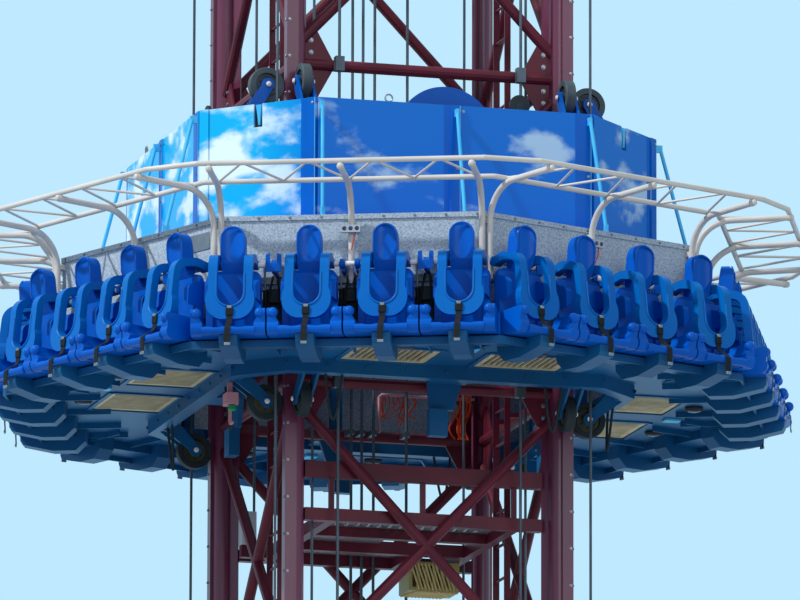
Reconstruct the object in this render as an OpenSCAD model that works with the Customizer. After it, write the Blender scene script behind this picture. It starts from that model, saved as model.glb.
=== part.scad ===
// Drop tower ride: a six bay length of square lattice tower with an octagonal ring gondola
// Millimetres, +Z up, origin at ground level on the tower's axis, front of the ride towards -Y

/* [Tower] */
// Distance between leg centres along each side
tower_w = 2200; // [2000:50:2600]
// Number of whole lattice bays
bays = 6; // [5:1:7]
// Height of one bay
bay_h = 2590; // [2400:10:2800]
// Height of the lowest ring of horizontals above the ground
base_h = 300; // [280:10:400]
// Height of the legs over the top ring of horizontals
leg_over = 100; // [80:10:160]
// Diameter of the main leg tube
leg_d = 150; // [130:5:165]
// How far the guide rail's outer faces stand outside the leg's centre
rail_out = 100; // [90:5:115]
// Width of the square guide rail
rail_w = 90; // [70:5:100]
// Reach of the bracing fin towards the tower's axis, from the leg's centre
fin_reach = 150; // [120:10:180]
// Thickness of the bracing fin
fin_t = 16; // [12:1:20]
// Diameter of the horizontal tubes
horizontal_d = 95; // [80:5:110]
// Diameter of the diagonal tubes
diagonal_d = 90; // [76:2:100]
// Height between a horizontal and the end of a diagonal on the leg
diagonal_drop = 150; // [120:10:200]
// Thickness of the gusset plates
gusset_t = 16; // [10:1:20]
// Height of a gusset plate over and under its horizontal
gusset_h = 300; // [260:10:340]
// Reach of a gusset plate along its horizontal, from the leg's centre
gusset_reach = 330; // [280:10:400]
// Side of each foot's base plate
base_plate_w = 540; // [500:10:600]
// Thickness of the base plates
base_plate_t = 40; // [30:5:50]
// Height of the ribs that stand on the base plates
base_rib_h = 170; // [140:10:180]
// Diameter of the anchor bolt holes
anchor_hole_d = 36; // [28:2:42]
// Distance between the anchor holes of one foot
anchor_pitch = 300; // [280:10:310]
// Side of the box beams that tie the legs' tops
head_beam = 200; // [180:10:240]

/* [Ropes] */
// Diameter of the hoist ropes
rope_d = 22; // [16:2:28]
// Distance of each strand from the leg's centre, along X and along Y
rope_off = 210; // [200:5:230]
// Width of a head sheave
sheave_w = 60; // [50:5:80]
// Height of a sheave's rim over the middle of its rope
sheave_rim = 14; // [12:1:24]
// Diameter of the sheaves' axles
sheave_axle_d = 70; // [50:5:90]

/* [Service gear] */
// Distance between a ladder's stiles
ladder_w = 320; // [280:10:360]
// Distance of the ladders from the lattice's inner faces
ladder_off = 100; // [80:5:120]
// Distance between rungs
rung_pitch = 280; // [250:10:300]
// Depth of the service platform's underside under the top of the resting gondola's back wall
platform_down = 2225; // [2150:5:2300]
// Depth of the platform's beams
platform_h = 100; // [80:5:120]
// Width of the platform's beams
platform_beam = 80; // [60:5:100]
// Distance of the platform's cross beams from the axis
platform_cross = 760; // [720:10:780]
// Distance from one slot of the platform's decks to the next
deck_slot_pitch = 90; // [70:5:120]
// Height of the rail over the platform's front beam
platform_rail_h = 250; // [200:10:300]
// Diameter of the cables in the rear of the tower
cable_d = 24; // [18:2:30]
// Distance of those cables from the lattice's inner face
cable_off = 130; // [110:5:140]

/* [Gondola] */
// Bay, counted from the ground, whose top horizontals the resting gondola's wheels stand under
rest_bay = 4; // [3:1:4]
// Height of those horizontals over the top of the back wall
rest_drop = 1480; // [1450:10:1550]
// Clear distance from the rails' faces to the carriage rings
carriage_gap = 360; // [340:5:400]
// Side of the carriage's square beams
carriage_b = 120; // [100:10:140]
// Width of the carriage's upright posts
post_w = 90; // [70:10:100]
// Clear distance from the carriage rings to the housing's panels
housing_gap = 213; // [190:1:250]
// Width of the cut that each corner of the housing takes off its long faces
housing_cut = 781; // [740:1:820]
// Height of the housing
housing_h = 1030; // [980:10:1080]
// Thickness of the housing's panels
panel_t = 25; // [20:1:35]
// Width of the strips over the panels' joints
strip_w = 80; // [60:5:110]
// Thickness of those strips
strip_t = 12; // [8:1:16]
// Distance from the housing's long faces to the back wall, square to a side
deck_w = 613; // [590:1:640]
// Thickness of the deck between the back wall and the carriage
deck_t = 30; // [20:5:40]
// Height of the back wall
wall_h = 1020; // [990:5:1030]
// Thickness of the back wall
wall_t = 50; // [40:5:60]
// Height of the rim along the top of the back wall
rim_h = 40; // [30:5:50]
// How far that rim stands out from the wall
rim_out = 12; // [6:1:18]
// Thickness of the floor plates
floor_t = 20; // [12:2:30]
// Length of a floor grating along its side of the tower
grate_l = 700; // [640:10:740]
// Depth of a floor grating, square to its side of the tower
grate_w = 560; // [500:10:600]
// Distance from one grating bar to the next
grate_pitch = 50; // [40:5:70]
// Thickness of a grating bar
grate_bar = 12; // [8:1:16]

/* [Guide wheels] */
// Diameter of a guide wheel
wheel_d = 290; // [260:5:310]
// Width of a guide wheel
wheel_w = 80; // [60:5:90]
// Thickness of the tyre
tyre_t = 32; // [24:2:40]
// Gap between a wheel and its rail
wheel_gap = 0.3; // [0.2:0.1:1]
// Diameter of a wheel's axle
axle_d = 40; // [30:2:50]
// Thickness of a fork's cheek
fork_t = 20; // [14:2:26]
// Side gap between a wheel and its fork
fork_gap = 8; // [6:1:12]
// Height of the upper wheels over the top of the back wall
wheel_up = 1280; // [1260:10:1300]
// Depth of the lower wheels under the top of the back wall
wheel_down = 1312; // [1300:4:1340]

/* [Seats] */
// Seats in each of the eight rows
row_seats = 4; // [4:1:4]
// Distance between neighbouring seats
seat_pitch = 604; // [596:2:610]
// Width of a seat's back
seat_w = 440; // [420:5:450]
// Distance from the back wall to the seat back's front face
back_off = 269; // [260:1:280]
// Thickness of a seat shell
shell_t = 45; // [35:5:50]
// Width of the headrest
head_w = 196; // [180:2:198]
// How far the headrest's front stands out from the seat back's
head_out = 85; // [70:5:95]
// Depth of the headrest's top under the top of the back wall
headrest_top = 150; // [140:5:160]
// Depth of the seat back's shoulders under the top of the back wall
shoulder_down = 500; // [490:5:520]
// Depth of the seat's top face under the top of the back wall
seat_top = 1010; // [1000:5:1020]
// Length of the seat's pan in front of its back
pan_l = 390; // [370:5:400]
// Thickness of the seat's pan
pan_t = 65; // [55:5:68]
// Distance between the two side rolls of a seat
roll_pitch = 500; // [490:2:504]
// Width of a side roll
roll_w = 90; // [80:5:92]
// Width of the pod under a seat
pod_w = 145; // [130:5:160]
// Depth of the pods' lower faces under the top of the back wall
pod_down = 1220; // [1200:5:1240]

/* [Restraints] */
// Distance from the back wall to the restraints' shaft
shaft_off = 149; // [146:1:152]
// Depth of the restraints' shaft under the top of the back wall
shaft_down = 430; // [425:1:435]
// Diameter of the restraints' shaft
shaft_d = 40; // [30:2:46]
// Running clearance round the shaft in its bearings
shaft_gap = 0.5; // [0.2:0.1:1]
// Diameter of the hubs that fix the restraints to their shaft
hub_d = 76; // [72:2:80]
// Distance between the middles of the two shoulder straps
strap_pitch = 280; // [276:2:284]
// Width of a shoulder strap
strap_w = 72; // [60:2:76]
// Thickness of the straps and the bib
band_t = 66; // [50:2:70]
// Rise of a strap's first stretch, in degrees
rise_angle = 15; // [12:1:18]
// Length of that stretch
rise_l = 85; // [80:1:90]
// Radius of the strap's middle line over the shoulder
shoulder_r = 150; // [140:5:160]
// Fall of a strap behind its front bend, in degrees
fall_angle = 10; // [8:1:12]
// Length of the strap between its two bends
top_l = 80; // [70:2:90]
// Radius of the strap's middle line at its front bend
front_r = 100; // [90:5:110]
// Lean of the bib from the upright, in degrees
bib_lean = 7; // [5:1:9]
// Width of the bib
bib_w = 390; // [370:5:400]
// Depth of the bib's lower edge under the top of the back wall
bib_down = 937; // [920:1:945]
// Height of the bib below its round opening
bib_web = 115; // [100:5:140]
// Largest radius of the bib's lower corners
bib_r = 150; // [120:5:160]

/* [Canopy] */
// Distance from the back wall to the outer chord
chord_out_off = 809; // [790:1:830]
// Distance from the back wall to the inner chord
chord_in_off = 251; // [240:1:260]
// Height of the outer chord over the top of the back wall
chord_out_z = 260; // [250:5:270]
// Diameter of the chords
chord_d = 42; // [34:2:48]
// Diameter of the curved arms
arm_d = 50; // [44:2:54]
// Distance from the back wall to the arms' upright parts
arm_off = 59; // [54:1:65]
// Distance from the gondola's corners to the outer arms, along a side
arm_corner = 35; // [32:1:45]
// Radius of the arms' bend
arm_bend = 300; // [280:10:320]
// Length of the arms' upright parts under the top of the back wall
arm_down = 560; // [500:10:600]
// Diameter of the bracing rods
rod_d = 20; // [14:2:24]

/* [Hidden] */
$fn = 48;

maroon = [0.36, 0.16, 0.26];
deep_blue = [0.03, 0.34, 0.80];
seat_blue = [0.03, 0.26, 0.72];
teal = [0.04, 0.26, 0.46];
off_white = [0.85, 0.84, 0.81];
wall_grey = [0.56, 0.60, 0.65];
steel_grey = [0.45, 0.48, 0.52];
tyre_grey = [0.16, 0.18, 0.20];
box_grey = [0.72, 0.76, 0.80];
grating_tan = [0.72, 0.68, 0.53];

// Clearance where one piece seats on or passes another
seat_gap = 0.3;
// How far a cut runs past the face that it opens
past = 1;

leg_xy = tower_w / 2;
rail_face = leg_xy + rail_out;
lattice_face = leg_xy - horizontal_d / 2;
tower_top = base_h + bays * bay_h;
leg_top = tower_top + leg_over;
wall_z = base_h + rest_bay * bay_h - rest_drop;
corners = [[-1, -1], [1, -1], [-1, 1], [1, 1]];
sheave_r = rope_off * sqrt(2);
sheave_lift = sheave_r + 40;
sheave_z = leg_top + head_beam + sheave_lift;

carriage_in = rail_face + carriage_gap;
carriage_out = carriage_in + carriage_b;
housing_a = carriage_out + housing_gap + panel_t;
housing_c = housing_a - housing_cut;
corner_a = (housing_a + housing_c) / sqrt(2);
carriage_corner = corner_a - panel_t - 20;
wall_a = housing_a + deck_w;
wall_in = wall_a - wall_t;
floor_z = -wall_h - floor_t;

// Distance from one thing to another along a bar
function bar_length(a, b) = norm(b - a);

// Points of an arc from one angle to another
function arc(centre, r, from, to, steps = 6) =
    [for (i = [0 : steps]) let (t = from + (to - from) * i / steps) centre + r * [cos(t), sin(t)]];

// Outline of a rectangle with round corners
function rounded(low, high, r) =
    concat(arc([high[0] - r, high[1] - r], r, 0, 90), arc([low[0] + r, high[1] - r], r, 90, 180),
           arc([low[0] + r, low[1] + r], r, 180, 270), arc([high[0] - r, low[1] + r], r, 270, 360));

module bar(a, b, d) {
    v = b - a;
    translate(a)
        rotate([0, acos(v[2] / norm(v)), atan2(v[1], v[0])])
            cylinder(d = d, h = bar_length(a, b));
}

module box(low, high) {
    translate(low) cube(high - low);
}

// Extrudes a drawing of (distance from the axis, height) across a side of the gondola
module across(w) {
    rotate([90, 0, -90]) linear_extrude(w, center = true) children();
}

// Extrudes a drawing of (place along the side, height) outwards from distance a0 to a1
module outwards(a0, a1) {
    translate([0, -a0, 0]) rotate([90, 0, 0]) linear_extrude(a1 - a0) children();
}

// One tower leg: round tube, square guide rail at its outer corner and a fin towards the axis
module leg(sx, sy) {
    h = leg_top - base_plate_t;
    color(maroon)
        mirror([sx < 0 ? 1 : 0, 0, 0]) mirror([0, sy < 0 ? 1 : 0, 0])
            translate([leg_xy, leg_xy, base_plate_t]) {
                cylinder(d = leg_d, h = h);
                translate([rail_out - rail_w, rail_out - rail_w, 0]) cube([rail_w, rail_w, h]);
                rotate([0, 0, 225]) translate([0, -fin_t / 2, 0]) cube([fin_reach, fin_t, h]);
            }
}

// A foot under each leg, with four anchor holes and two ribs that stand along the tower's sides
module base_plates() {
    half = base_plate_w / 2;
    rib_start = leg_d / 2 + seat_gap;
    color(maroon)
        for (c = corners)
            translate([c[0] * leg_xy, c[1] * leg_xy, 0]) {
                difference() {
                    translate([-half, -half, 0]) cube([base_plate_w, base_plate_w, base_plate_t]);
                    for (q = corners)
                        translate([q[0] * anchor_pitch / 2, q[1] * anchor_pitch / 2, -past])
                            cylinder(d = anchor_hole_d, h = base_plate_t + 2 * past);
                }
                for (turn = [c[0] < 0 ? 0 : 180, c[1] < 0 ? 90 : 270])
                    rotate([0, 0, turn]) rotate([90, 0, 0]) linear_extrude(gusset_t, center = true)
                        polygon([[rib_start, base_plate_t], [half, base_plate_t],
                                 [half, base_plate_t + 30], [rib_start + 40, base_plate_t + base_rib_h],
                                 [rib_start, base_plate_t + base_rib_h]]);
            }
}

// One flat side of the lattice, drawn on the front and turned to its side
module lattice(turn) {
    $fn = 12;
    color(maroon)
        rotate([0, 0, turn]) translate([0, -leg_xy, 0])
            difference() {
                union() {
                    for (k = [0 : bays]) {
                        z = base_h + k * bay_h;
                        bar([-leg_xy, 0, z], [leg_xy, 0, z], horizontal_d);
                    }
                    for (k = [0 : bays - 1]) {
                        low = base_h + k * bay_h + diagonal_drop;
                        high = base_h + (k + 1) * bay_h - diagonal_drop;
                        bar([-leg_xy, 0, low], [leg_xy, 0, high], diagonal_d);
                        bar([leg_xy, 0, low], [-leg_xy, 0, high], diagonal_d);
                    }
                    for (k = [0 : bays], s = [-1, 1])
                        gusset(s, base_h + k * bay_h, k == 0 ? 0 : gusset_h, k == bays ? 0 : gusset_h);
                }
                for (s = [-1, 1])
                    translate([s * leg_xy, 0, 0]) cylinder(d = leg_d + 2 * seat_gap, h = leg_top, $fn = 48);
            }
}

// Plate that joins a horizontal and its diagonals to the leg
module gusset(s, z, low, high) {
    near = leg_xy - gusset_reach / 2;
    rotate([90, 0, 0]) linear_extrude(gusset_t, center = true)
        polygon([[s * leg_xy, z - low], [s * leg_xy, z + high], [s * near, z + high],
                 [s * (leg_xy - gusset_reach), z], [s * near, z - low]]);
}

// Half the width of a sheave's hub, which is the clear width of its fork
sheave_hub = sheave_w / 2 + 10;

// Ring of box beams that ties the leg tops and carries the sheave forks
module head_frame() {
    out = leg_xy + head_beam / 2;
    in = leg_xy - head_beam / 2;
    cheek = 24;
    color(maroon)
        translate([0, 0, leg_top]) {
            difference() {
                box([-out, -out, 0], [out, out, head_beam]);
                box([-in, -in, -past], [in, in, head_beam + past]);
            }
            for (c = corners)
                translate([c[0] * leg_xy, c[1] * leg_xy, head_beam])
                    rotate([0, 0, atan2(c[1], c[0])])
                        for (s = [-1, 1])
                            difference() {
                                translate([-head_beam / 2 + 20, s * (sheave_hub + cheek / 2) - cheek / 2, 0])
                                    cube([head_beam - 40, cheek, sheave_lift + sheave_axle_d]);
                                translate([0, s * sheave_hub, sheave_lift]) rotate([90, 0, 0])
                                    cylinder(d = sheave_axle_d + 2 * shaft_gap, h = 3 * cheek, center = true);
                            }
        }
}

// A grooved rope sheave with its axle over each leg
module head_sheaves() {
    rim_r = sheave_r + sheave_rim;
    web = sheave_w / 6;
    color(steel_grey)
        for (c = corners)
            translate([c[0] * leg_xy, c[1] * leg_xy, sheave_z])
                rotate([0, 0, atan2(c[1], c[0])]) rotate([90, 0, 0]) {
                    rotate_extrude()
                        difference() {
                            polygon([[0, -sheave_hub], [sheave_axle_d, -sheave_hub], [sheave_axle_d, -web],
                                     [sheave_r - 60, -web], [sheave_r - 60, -sheave_w / 2],
                                     [rim_r, -sheave_w / 2], [rim_r, sheave_w / 2],
                                     [sheave_r - 60, sheave_w / 2], [sheave_r - 60, web],
                                     [sheave_axle_d, web], [sheave_axle_d, sheave_hub], [0, sheave_hub]]);
                            translate([sheave_r, 0]) circle(d = rope_d + 2 * seat_gap);
                            translate([sheave_r, -rope_d / 2 - seat_gap])
                                square([sheave_rim + past, rope_d + 2 * seat_gap]);
                        }
                    cylinder(d = sheave_axle_d, h = 2 * (sheave_hub + 30), center = true);
                }
}

// A rope loop at each corner: up outside the leg, over the sheave and down inside the tower
module hoist_ropes() {
    color(steel_grey)
        for (c = corners)
            translate([c[0] * leg_xy, c[1] * leg_xy, 0]) rotate([0, 0, atan2(c[1], c[0])]) {
                for (s = [-1, 1])
                    translate([s * sheave_r, 0, base_plate_t])
                        cylinder(d = rope_d, h = sheave_z - base_plate_t, $fn = 12);
                translate([0, 0, sheave_z]) rotate([90, 0, 0])
                    rotate_extrude(angle = 180) translate([sheave_r, 0]) circle(d = rope_d, $fn = 12);
            }
}

// Ladders up the middle of the left and right sides, inside the lattice
module service_ladder() {
    stile = [16, 50];
    over = 60;
    color(steel_grey)
        for (turn = [90, 270])
            rotate([0, 0, turn]) translate([0, -lattice_face + ladder_off, 0]) {
                for (s = [-1, 1])
                    translate([s * ladder_w / 2 - stile[0] / 2, -stile[1] / 2, base_h - over])
                        cube([stile[0], stile[1], tower_top - base_h + 2 * over]);
                for (z = [base_h + rung_pitch : rung_pitch : tower_top - over])
                    bar([-ladder_w / 2, 0, z], [ladder_w / 2, 0, z], 24);
                for (k = [0 : bays], s = [-1, 1])
                    translate([s * ladder_w / 2, 0, base_h + k * bay_h])
                        box([-8, -ladder_off, -20], [8, -stile[1] / 2, 20]);
            }
}

platform_z = wall_z - platform_down;
platform_end = leg_xy - (fin_reach + fin_t / 2) / sqrt(2);
platform_side = leg_xy - fin_reach / sqrt(2);
shelf_y = 800;
basket_x = 331;

// Service platform inside the tower: beams between the legs' fins, cross beams, a shelf and a rail
module service_platform() {
    b = platform_beam / 2;
    color(maroon)
        translate([0, 0, platform_z]) {
            for (s = [-1, 1]) {
                box([-platform_end, s * platform_side - b, 0], [platform_end, s * platform_side + b, platform_h]);
                box([s * platform_cross - b, -platform_side, 0], [s * platform_cross + b, platform_side, platform_h]);
            }
            for (y = [-platform_side / 3, platform_side / 3])
                box([-platform_cross, y - b, 0], [platform_cross, y + b, platform_h]);
            box([basket_x - b, platform_side / 3, 0], [basket_x + b, platform_side, platform_h]);
            box([-platform_end - 40, shelf_y - b, 0], [-platform_cross, shelf_y + b, platform_h]);
            for (x = [-platform_cross, 0, platform_cross])
                box([x - 20, -platform_side - 20, platform_h], [x + 20, -platform_side + 20, platform_h + platform_rail_h]);
            box([-platform_end, -platform_side - b, platform_h + platform_rail_h],
                [platform_end, -platform_side + b, platform_h + platform_rail_h + 130]);
        }
}

// Slotted deck plates that lie between the platform's beams
module platform_decks() {
    b = platform_beam / 2;
    t = 20;
    x1 = platform_cross - b - seat_gap;
    y0 = platform_side / 3 + b + seat_gap;
    y1 = lattice_face - cable_off - cable_d - 20;
    color(steel_grey)
        translate([0, 0, platform_z + platform_h - t]) {
            linear_extrude(t) deck_outline(-x1, -y1, x1, -y0);
            linear_extrude(t) deck_outline(-x1, y0, basket_x - b - seat_gap, y1);
            translate([-x1, -y0 + platform_beam + 2 * seat_gap, 0])
                cube([x1, 2 * (y0 - platform_beam - 2 * seat_gap), t]);
        }
}

// Rectangle with rows of slots
module deck_outline(x0, y0, x1, y1) {
    slot = deck_slot_pitch / 2;
    difference() {
        translate([x0, y0]) square([x1 - x0, y1 - y0]);
        for (x = [x0 + slot : deck_slot_pitch : x1 - deck_slot_pitch])
            translate([x, y0 + slot]) square([slot, y1 - y0 - 2 * slot]);
    }
}

// Upright cables and pipes: four inside the rear of the lattice and two in front of it
module tower_cables() {
    back = lattice_face - cable_off;
    front = leg_xy + horizontal_d / 2 + 40;
    over = 60;
    color(steel_grey) {
        for (x = [-60, 30, 130, 410]) {
            translate([x, back, base_h - over]) cylinder(d = cable_d, h = tower_top - base_h + 2 * over);
            for (k = [0 : bays])
                translate([x, 0, base_h + k * bay_h]) box([-cable_d, back - 20, -20], [cable_d, lattice_face, 20]);
        }
        for (x = [-760, 760]) {
            translate([x, -front, base_h - over]) cylinder(d = cable_d, h = tower_top - base_h + 2 * over);
            for (k = [0 : bays])
                translate([x, 0, base_h + k * bay_h])
                    box([-36, -front - 30, -60], [36, -leg_xy - horizontal_d / 2, 60]);
        }
    }
}

// Control box on the platform's shelf and an open basket under its rear corner
module equipment_boxes() {
    w = 12;
    depth = 240;
    x1 = platform_cross;
    y0 = shelf_y - 240;
    y1 = shelf_y + 60;
    slot = 34;
    color(box_grey)
        translate([0, 0, platform_z]) {
            box([-platform_end - 40, shelf_y - 60, platform_h], [-platform_end + 80, shelf_y + 60, platform_h + 275]);
            difference() {
                box([basket_x, y0, -depth], [x1, y1, 0]);
                box([basket_x + w, y0 + w, -depth + w], [x1 - w, y1 - w, past]);
                for (x = [basket_x + 30 : 2 * slot : x1 - 2 * slot])
                    box([x, y0 - past, -depth + 30], [x + slot, y0 + w + past, -30]);
            }
        }
}

// Square block with chamfered corners: half is its half width, diagonal its reach at a corner
module chamfered_block(half, diagonal, z0, z1) {
    translate([0, 0, z0])
        intersection() {
            translate([-half, -half, 0]) cube([2 * half, 2 * half, z1 - z0]);
            rotate([0, 0, 45]) translate([-diagonal, -diagonal, 0])
                cube([2 * diagonal, 2 * diagonal, z1 - z0]);
        }
}

// Square ring of box beams round the tower with a fork for each of eight wheels
module carriage_ring(z, up) {
    b = carriage_b;
    difference() {
        chamfered_block(carriage_out, carriage_corner, z - b / 2, z + b / 2);
        chamfered_block(carriage_in, carriage_corner - b, z - b, z + b);
    }
    for (k = [0 : 3], sx = [-1, 1], s = [-1, 1])
        rotate([0, 0, 90 * k])
            translate([sx * leg_xy + s * (wheel_w / 2 + fork_gap + fork_t / 2), 0, 0]) fork_cheek(z, up);
}

wheel_centre = rail_face + wheel_d / 2 + wheel_gap;

// One cheek of a wheel fork: tapers from the ring beam to a round eye at the axle
module fork_cheek(z, up) {
    s = sign(up - z);
    eye = axle_d / 2 + 30;
    ring = carriage_in + carriage_b / 2;
    difference() {
        across(fork_t)
            union() {
                polygon([[ring, z - s * 60], [ring, z + s * 60], [wheel_centre + eye - 8, up + s * 10],
                         [wheel_centre - eye + 4, up - s * 20], [carriage_in, z - s * 60]]);
                translate([wheel_centre, up]) circle(r = eye);
            }
        translate([0, -wheel_centre, up]) rotate([0, 90, 0])
            cylinder(d = axle_d + 2 * shaft_gap, h = 2 * fork_t, center = true);
    }
}

// Upright posts near the ends and at the middle of each side of the carriage
module carriage_posts(z0, z1) {
    mid = carriage_in + carriage_b / 2;
    x = carriage_corner * sqrt(2) - mid - post_w - 20;
    for (k = [0 : 3], s = [-1, 0, 1])
        rotate([0, 0, 90 * k]) translate([s * x, -mid, 0])
            box([-post_w / 2, -post_w / 2, z0], [post_w / 2, post_w / 2, z1]);
}

upper_ring_z = housing_h - 160;
lower_ring_z = -wheel_down + 220;

module upper_carriage() {
    color(deep_blue) translate([0, 0, wall_z]) {
        carriage_ring(upper_ring_z, wheel_up);
        carriage_posts(0, upper_ring_z);
        for (k = [0 : 3], s = [-1, 0, 1])
            rotate([0, 0, 90 * k]) translate([s * (housing_c - 80), 0, upper_ring_z])
                box([-30, -housing_a + panel_t, -30], [30, -carriage_out + past, 30]);
    }
}

module lower_carriage() {
    color(teal) translate([0, 0, wall_z]) {
        carriage_ring(lower_ring_z, -wheel_down);
        carriage_posts(lower_ring_z, -deck_t);
    }
}

// Tapered brackets inside the lower ring, each with the housing of an eddy current brake under it
module brake_carriers() {
    face = rail_face + 100;
    t = 40;
    top = lower_ring_z + carriage_b / 2;
    drop = 300;
    color(teal)
        for (k = [0 : 3])
            rotate([0, 0, 90 * k]) translate([0, 0, wall_z]) {
                box([-60, -carriage_in, top - 90], [255, -face - t / 2, top - 12]);
                outwards(face - t / 2, face + t / 2)
                    polygon([[-60, top], [255, top], [162, top - drop], [-37, top - drop]]);
                box([-50, -face - 70, top - drop - 220], [100, -face + 20, top - drop]);
            }
}

// One long face of the housing: a panel with a strip over its joint, and flanges behind its edges
module housing_face(turn) {
    flange = 60;
    color(deep_blue)
        rotate([0, 0, turn]) translate([0, 0, wall_z]) {
            box([-housing_c, -housing_a, 0], [housing_c, -housing_a + panel_t, housing_h]);
            box([-strip_w / 2, -housing_a - strip_t, 0], [strip_w / 2, -housing_a, housing_h]);
            for (z = [0, housing_h - 8])
                box([-housing_c + 30, -housing_a, z], [housing_c - 30, -housing_a + panel_t + flange, z + 8]);
        }
}

// The four corner panels, each with edge strips and a slot in the middle of its top edge
module housing_corners() {
    half = housing_cut / sqrt(2) - 20;
    color(deep_blue)
        for (k = [0 : 3])
            rotate([0, 0, 45 + 90 * k]) translate([0, 0, wall_z])
                difference() {
                    union() {
                        box([-half, -corner_a, 0], [half, -corner_a + panel_t, housing_h]);
                        for (s = [-1, 1])
                            translate([s * (half - strip_w / 2), 0, 0])
                                box([-strip_w / 2, -corner_a - strip_t, 0], [strip_w / 2, -corner_a, housing_h]);
                    }
                    box([-40, -corner_a - past, housing_h - 190], [40, -corner_a + panel_t + past, housing_h + past]);
                }
}

// Domed covers that stand on the upper ring at the middle of its front and rear
module pulley_covers() {
    dome_r = 413;
    rise = 310;
    ring_top = upper_ring_z + carriage_b / 2;
    mid = carriage_in + carriage_b / 2;
    color(deep_blue)
        for (k = [0, 1])
            rotate([0, 0, 180 * k]) translate([0, -mid, wall_z + ring_top + rise - dome_r])
                rotate([90, 0, 0])
                    intersection() {
                        cylinder(r = dome_r, h = 60, center = true);
                        box([-dome_r, dome_r - rise, -60], [dome_r, dome_r, 60]);
                    }
}

// Octagonal ring slab: distances are measured square to the sides
module oct_ring(a_out, a_in, z0, z1) {
    k = 1 / cos(22.5);
    difference() {
        translate([0, 0, z0]) cylinder(r = a_out * k, h = z1 - z0, $fn = 8);
        translate([0, 0, z0 - past]) cylinder(r = a_in * k, h = z1 - z0 + 2 * past, $fn = 8);
    }
}

module back_wall() {
    color(wall_grey) translate([0, 0, wall_z]) {
        oct_ring(wall_a, wall_in, -wall_h, 0);
        oct_ring(wall_a + rim_out, wall_in, -rim_h, 0);
    }
}

// Deck between the housing and the back wall
module ring_deck() {
    color(deep_blue) translate([0, 0, wall_z])
        difference() {
            translate([0, 0, -deck_t]) cylinder(r = wall_in / cos(22.5), h = deck_t, $fn = 8);
            chamfered_block(carriage_in, carriage_corner - carriage_b, -deck_t - past, past);
        }
}

back_a = wall_a + back_off;
pan_front = back_a + pan_l;
pan_low = -seat_top - pan_t;
step_a = back_a - shell_t - 35;
fascia_a = back_a + 180;
under_z = pan_low - 15;
skirt_z = under_z - 3 * floor_t;
grate_a = carriage_out + 20;
grate_x = 550;

// Underside of the gondola: floor with grating windows, a step down and a skirt under the seats
module floor_pans() {
    color(teal) translate([0, 0, wall_z]) {
        difference() {
            translate([0, 0, floor_z]) cylinder(r = step_a / cos(22.5), h = floor_t, $fn = 8);
            chamfered_block(carriage_out, carriage_corner, floor_z - past, -wall_h + past);
            for (k = [0 : 3], s = [-1, 1])
                rotate([0, 0, 90 * k]) translate([s * grate_x, 0, 0])
                    box([-grate_l / 2, -grate_a - grate_w, floor_z - past],
                        [grate_l / 2, -grate_a, -wall_h + past]);
        }
        oct_ring(step_a, step_a - floor_t, under_z - floor_t, floor_z);
        oct_ring(fascia_a, step_a, under_z - floor_t, under_z);
        oct_ring(fascia_a, fascia_a - floor_t, skirt_z, under_z - floor_t);
    }
}

// Pod under each seat: hooked under the skirt, its lower face runs out flat, then rises to the pan
module seat_pods() {
    low = -pod_down;
    color(teal)
        for (k = [0 : 7], i = [0 : row_seats - 1])
            at_side(k) at_seat(i) across(pod_w)
                polygon([[step_a - 120, floor_z - seat_gap], [step_a - 110, low + 75], [step_a - 30, low],
                         [back_a + 80, low], [back_a + 330, low + 55], [back_a + 350, low + 90],
                         [back_a + 350, pan_low], [fascia_a + seat_gap, pan_low],
                         [fascia_a + seat_gap, skirt_z - seat_gap],
                         [fascia_a - floor_t - seat_gap, skirt_z - seat_gap],
                         [fascia_a - floor_t - seat_gap, under_z - floor_t - seat_gap],
                         [step_a - floor_t - seat_gap, under_z - floor_t - seat_gap],
                         [step_a - floor_t - seat_gap, floor_z - seat_gap]]);
}

// Bar gratings that fill the floor's windows
module floor_gratings() {
    color(grating_tan) translate([0, 0, wall_z + floor_z])
        for (k = [0 : 3], s = [-1, 1])
            rotate([0, 0, 90 * k]) translate([s * grate_x, -grate_a - grate_w / 2, 0])
                linear_extrude(floor_t) grating(grate_l - 2 * seat_gap, grate_w - 2 * seat_gap);
}

// Outline of one grating: a frame with bars that run square to the tower's side
module grating(l, w) {
    frame = 3 * grate_bar;
    slot = grate_pitch - grate_bar;
    count = floor((l - 2 * frame + grate_bar) / grate_pitch);
    start = -(count * grate_pitch - grate_bar) / 2;
    difference() {
        square([l, w], center = true);
        for (i = [0 : count - 1])
            translate([start + i * grate_pitch, -w / 2 + frame]) square([slot, w - 2 * frame]);
    }
}

rod_reach = 270;

// Stays between the housing's upright edges and the deck
module tie_rods() {
    lug = 24;
    color(deep_blue) translate([0, 0, wall_z])
        for (k = [0 : 3], s = [-1, 0, 1])
            rotate([0, 0, 90 * k])
                translate([s * (housing_c - lug), -housing_a - (s == 0 ? strip_t : 0), 0]) {
                    box([-lug / 2, -60, housing_h - 100], [lug / 2, 0, housing_h - 40]);
                    bar([0, -45, housing_h - 70], [s * 60, -rod_reach, 50], 30);
                    box([s * 60 - lug / 2, -rod_reach - 30, 0], [s * 60 + lug / 2, -rod_reach + 30, 70]);
                }
}

side_azimuths = [-22.5, 22.5, 67.5, 112.5, 157.5, 202.5, 247.5, 292.5];

// Places children on side k of the gondola: +X along the side, -Y outwards, z = 0 at the wall's top
module at_side(k) {
    rotate([0, 0, side_azimuths[k]]) translate([0, 0, wall_z]) children();
}

// Places children at seat i of a side
module at_seat(i) {
    translate([(i - (row_seats - 1) / 2) * seat_pitch, 0, 0]) children();
}

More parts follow.
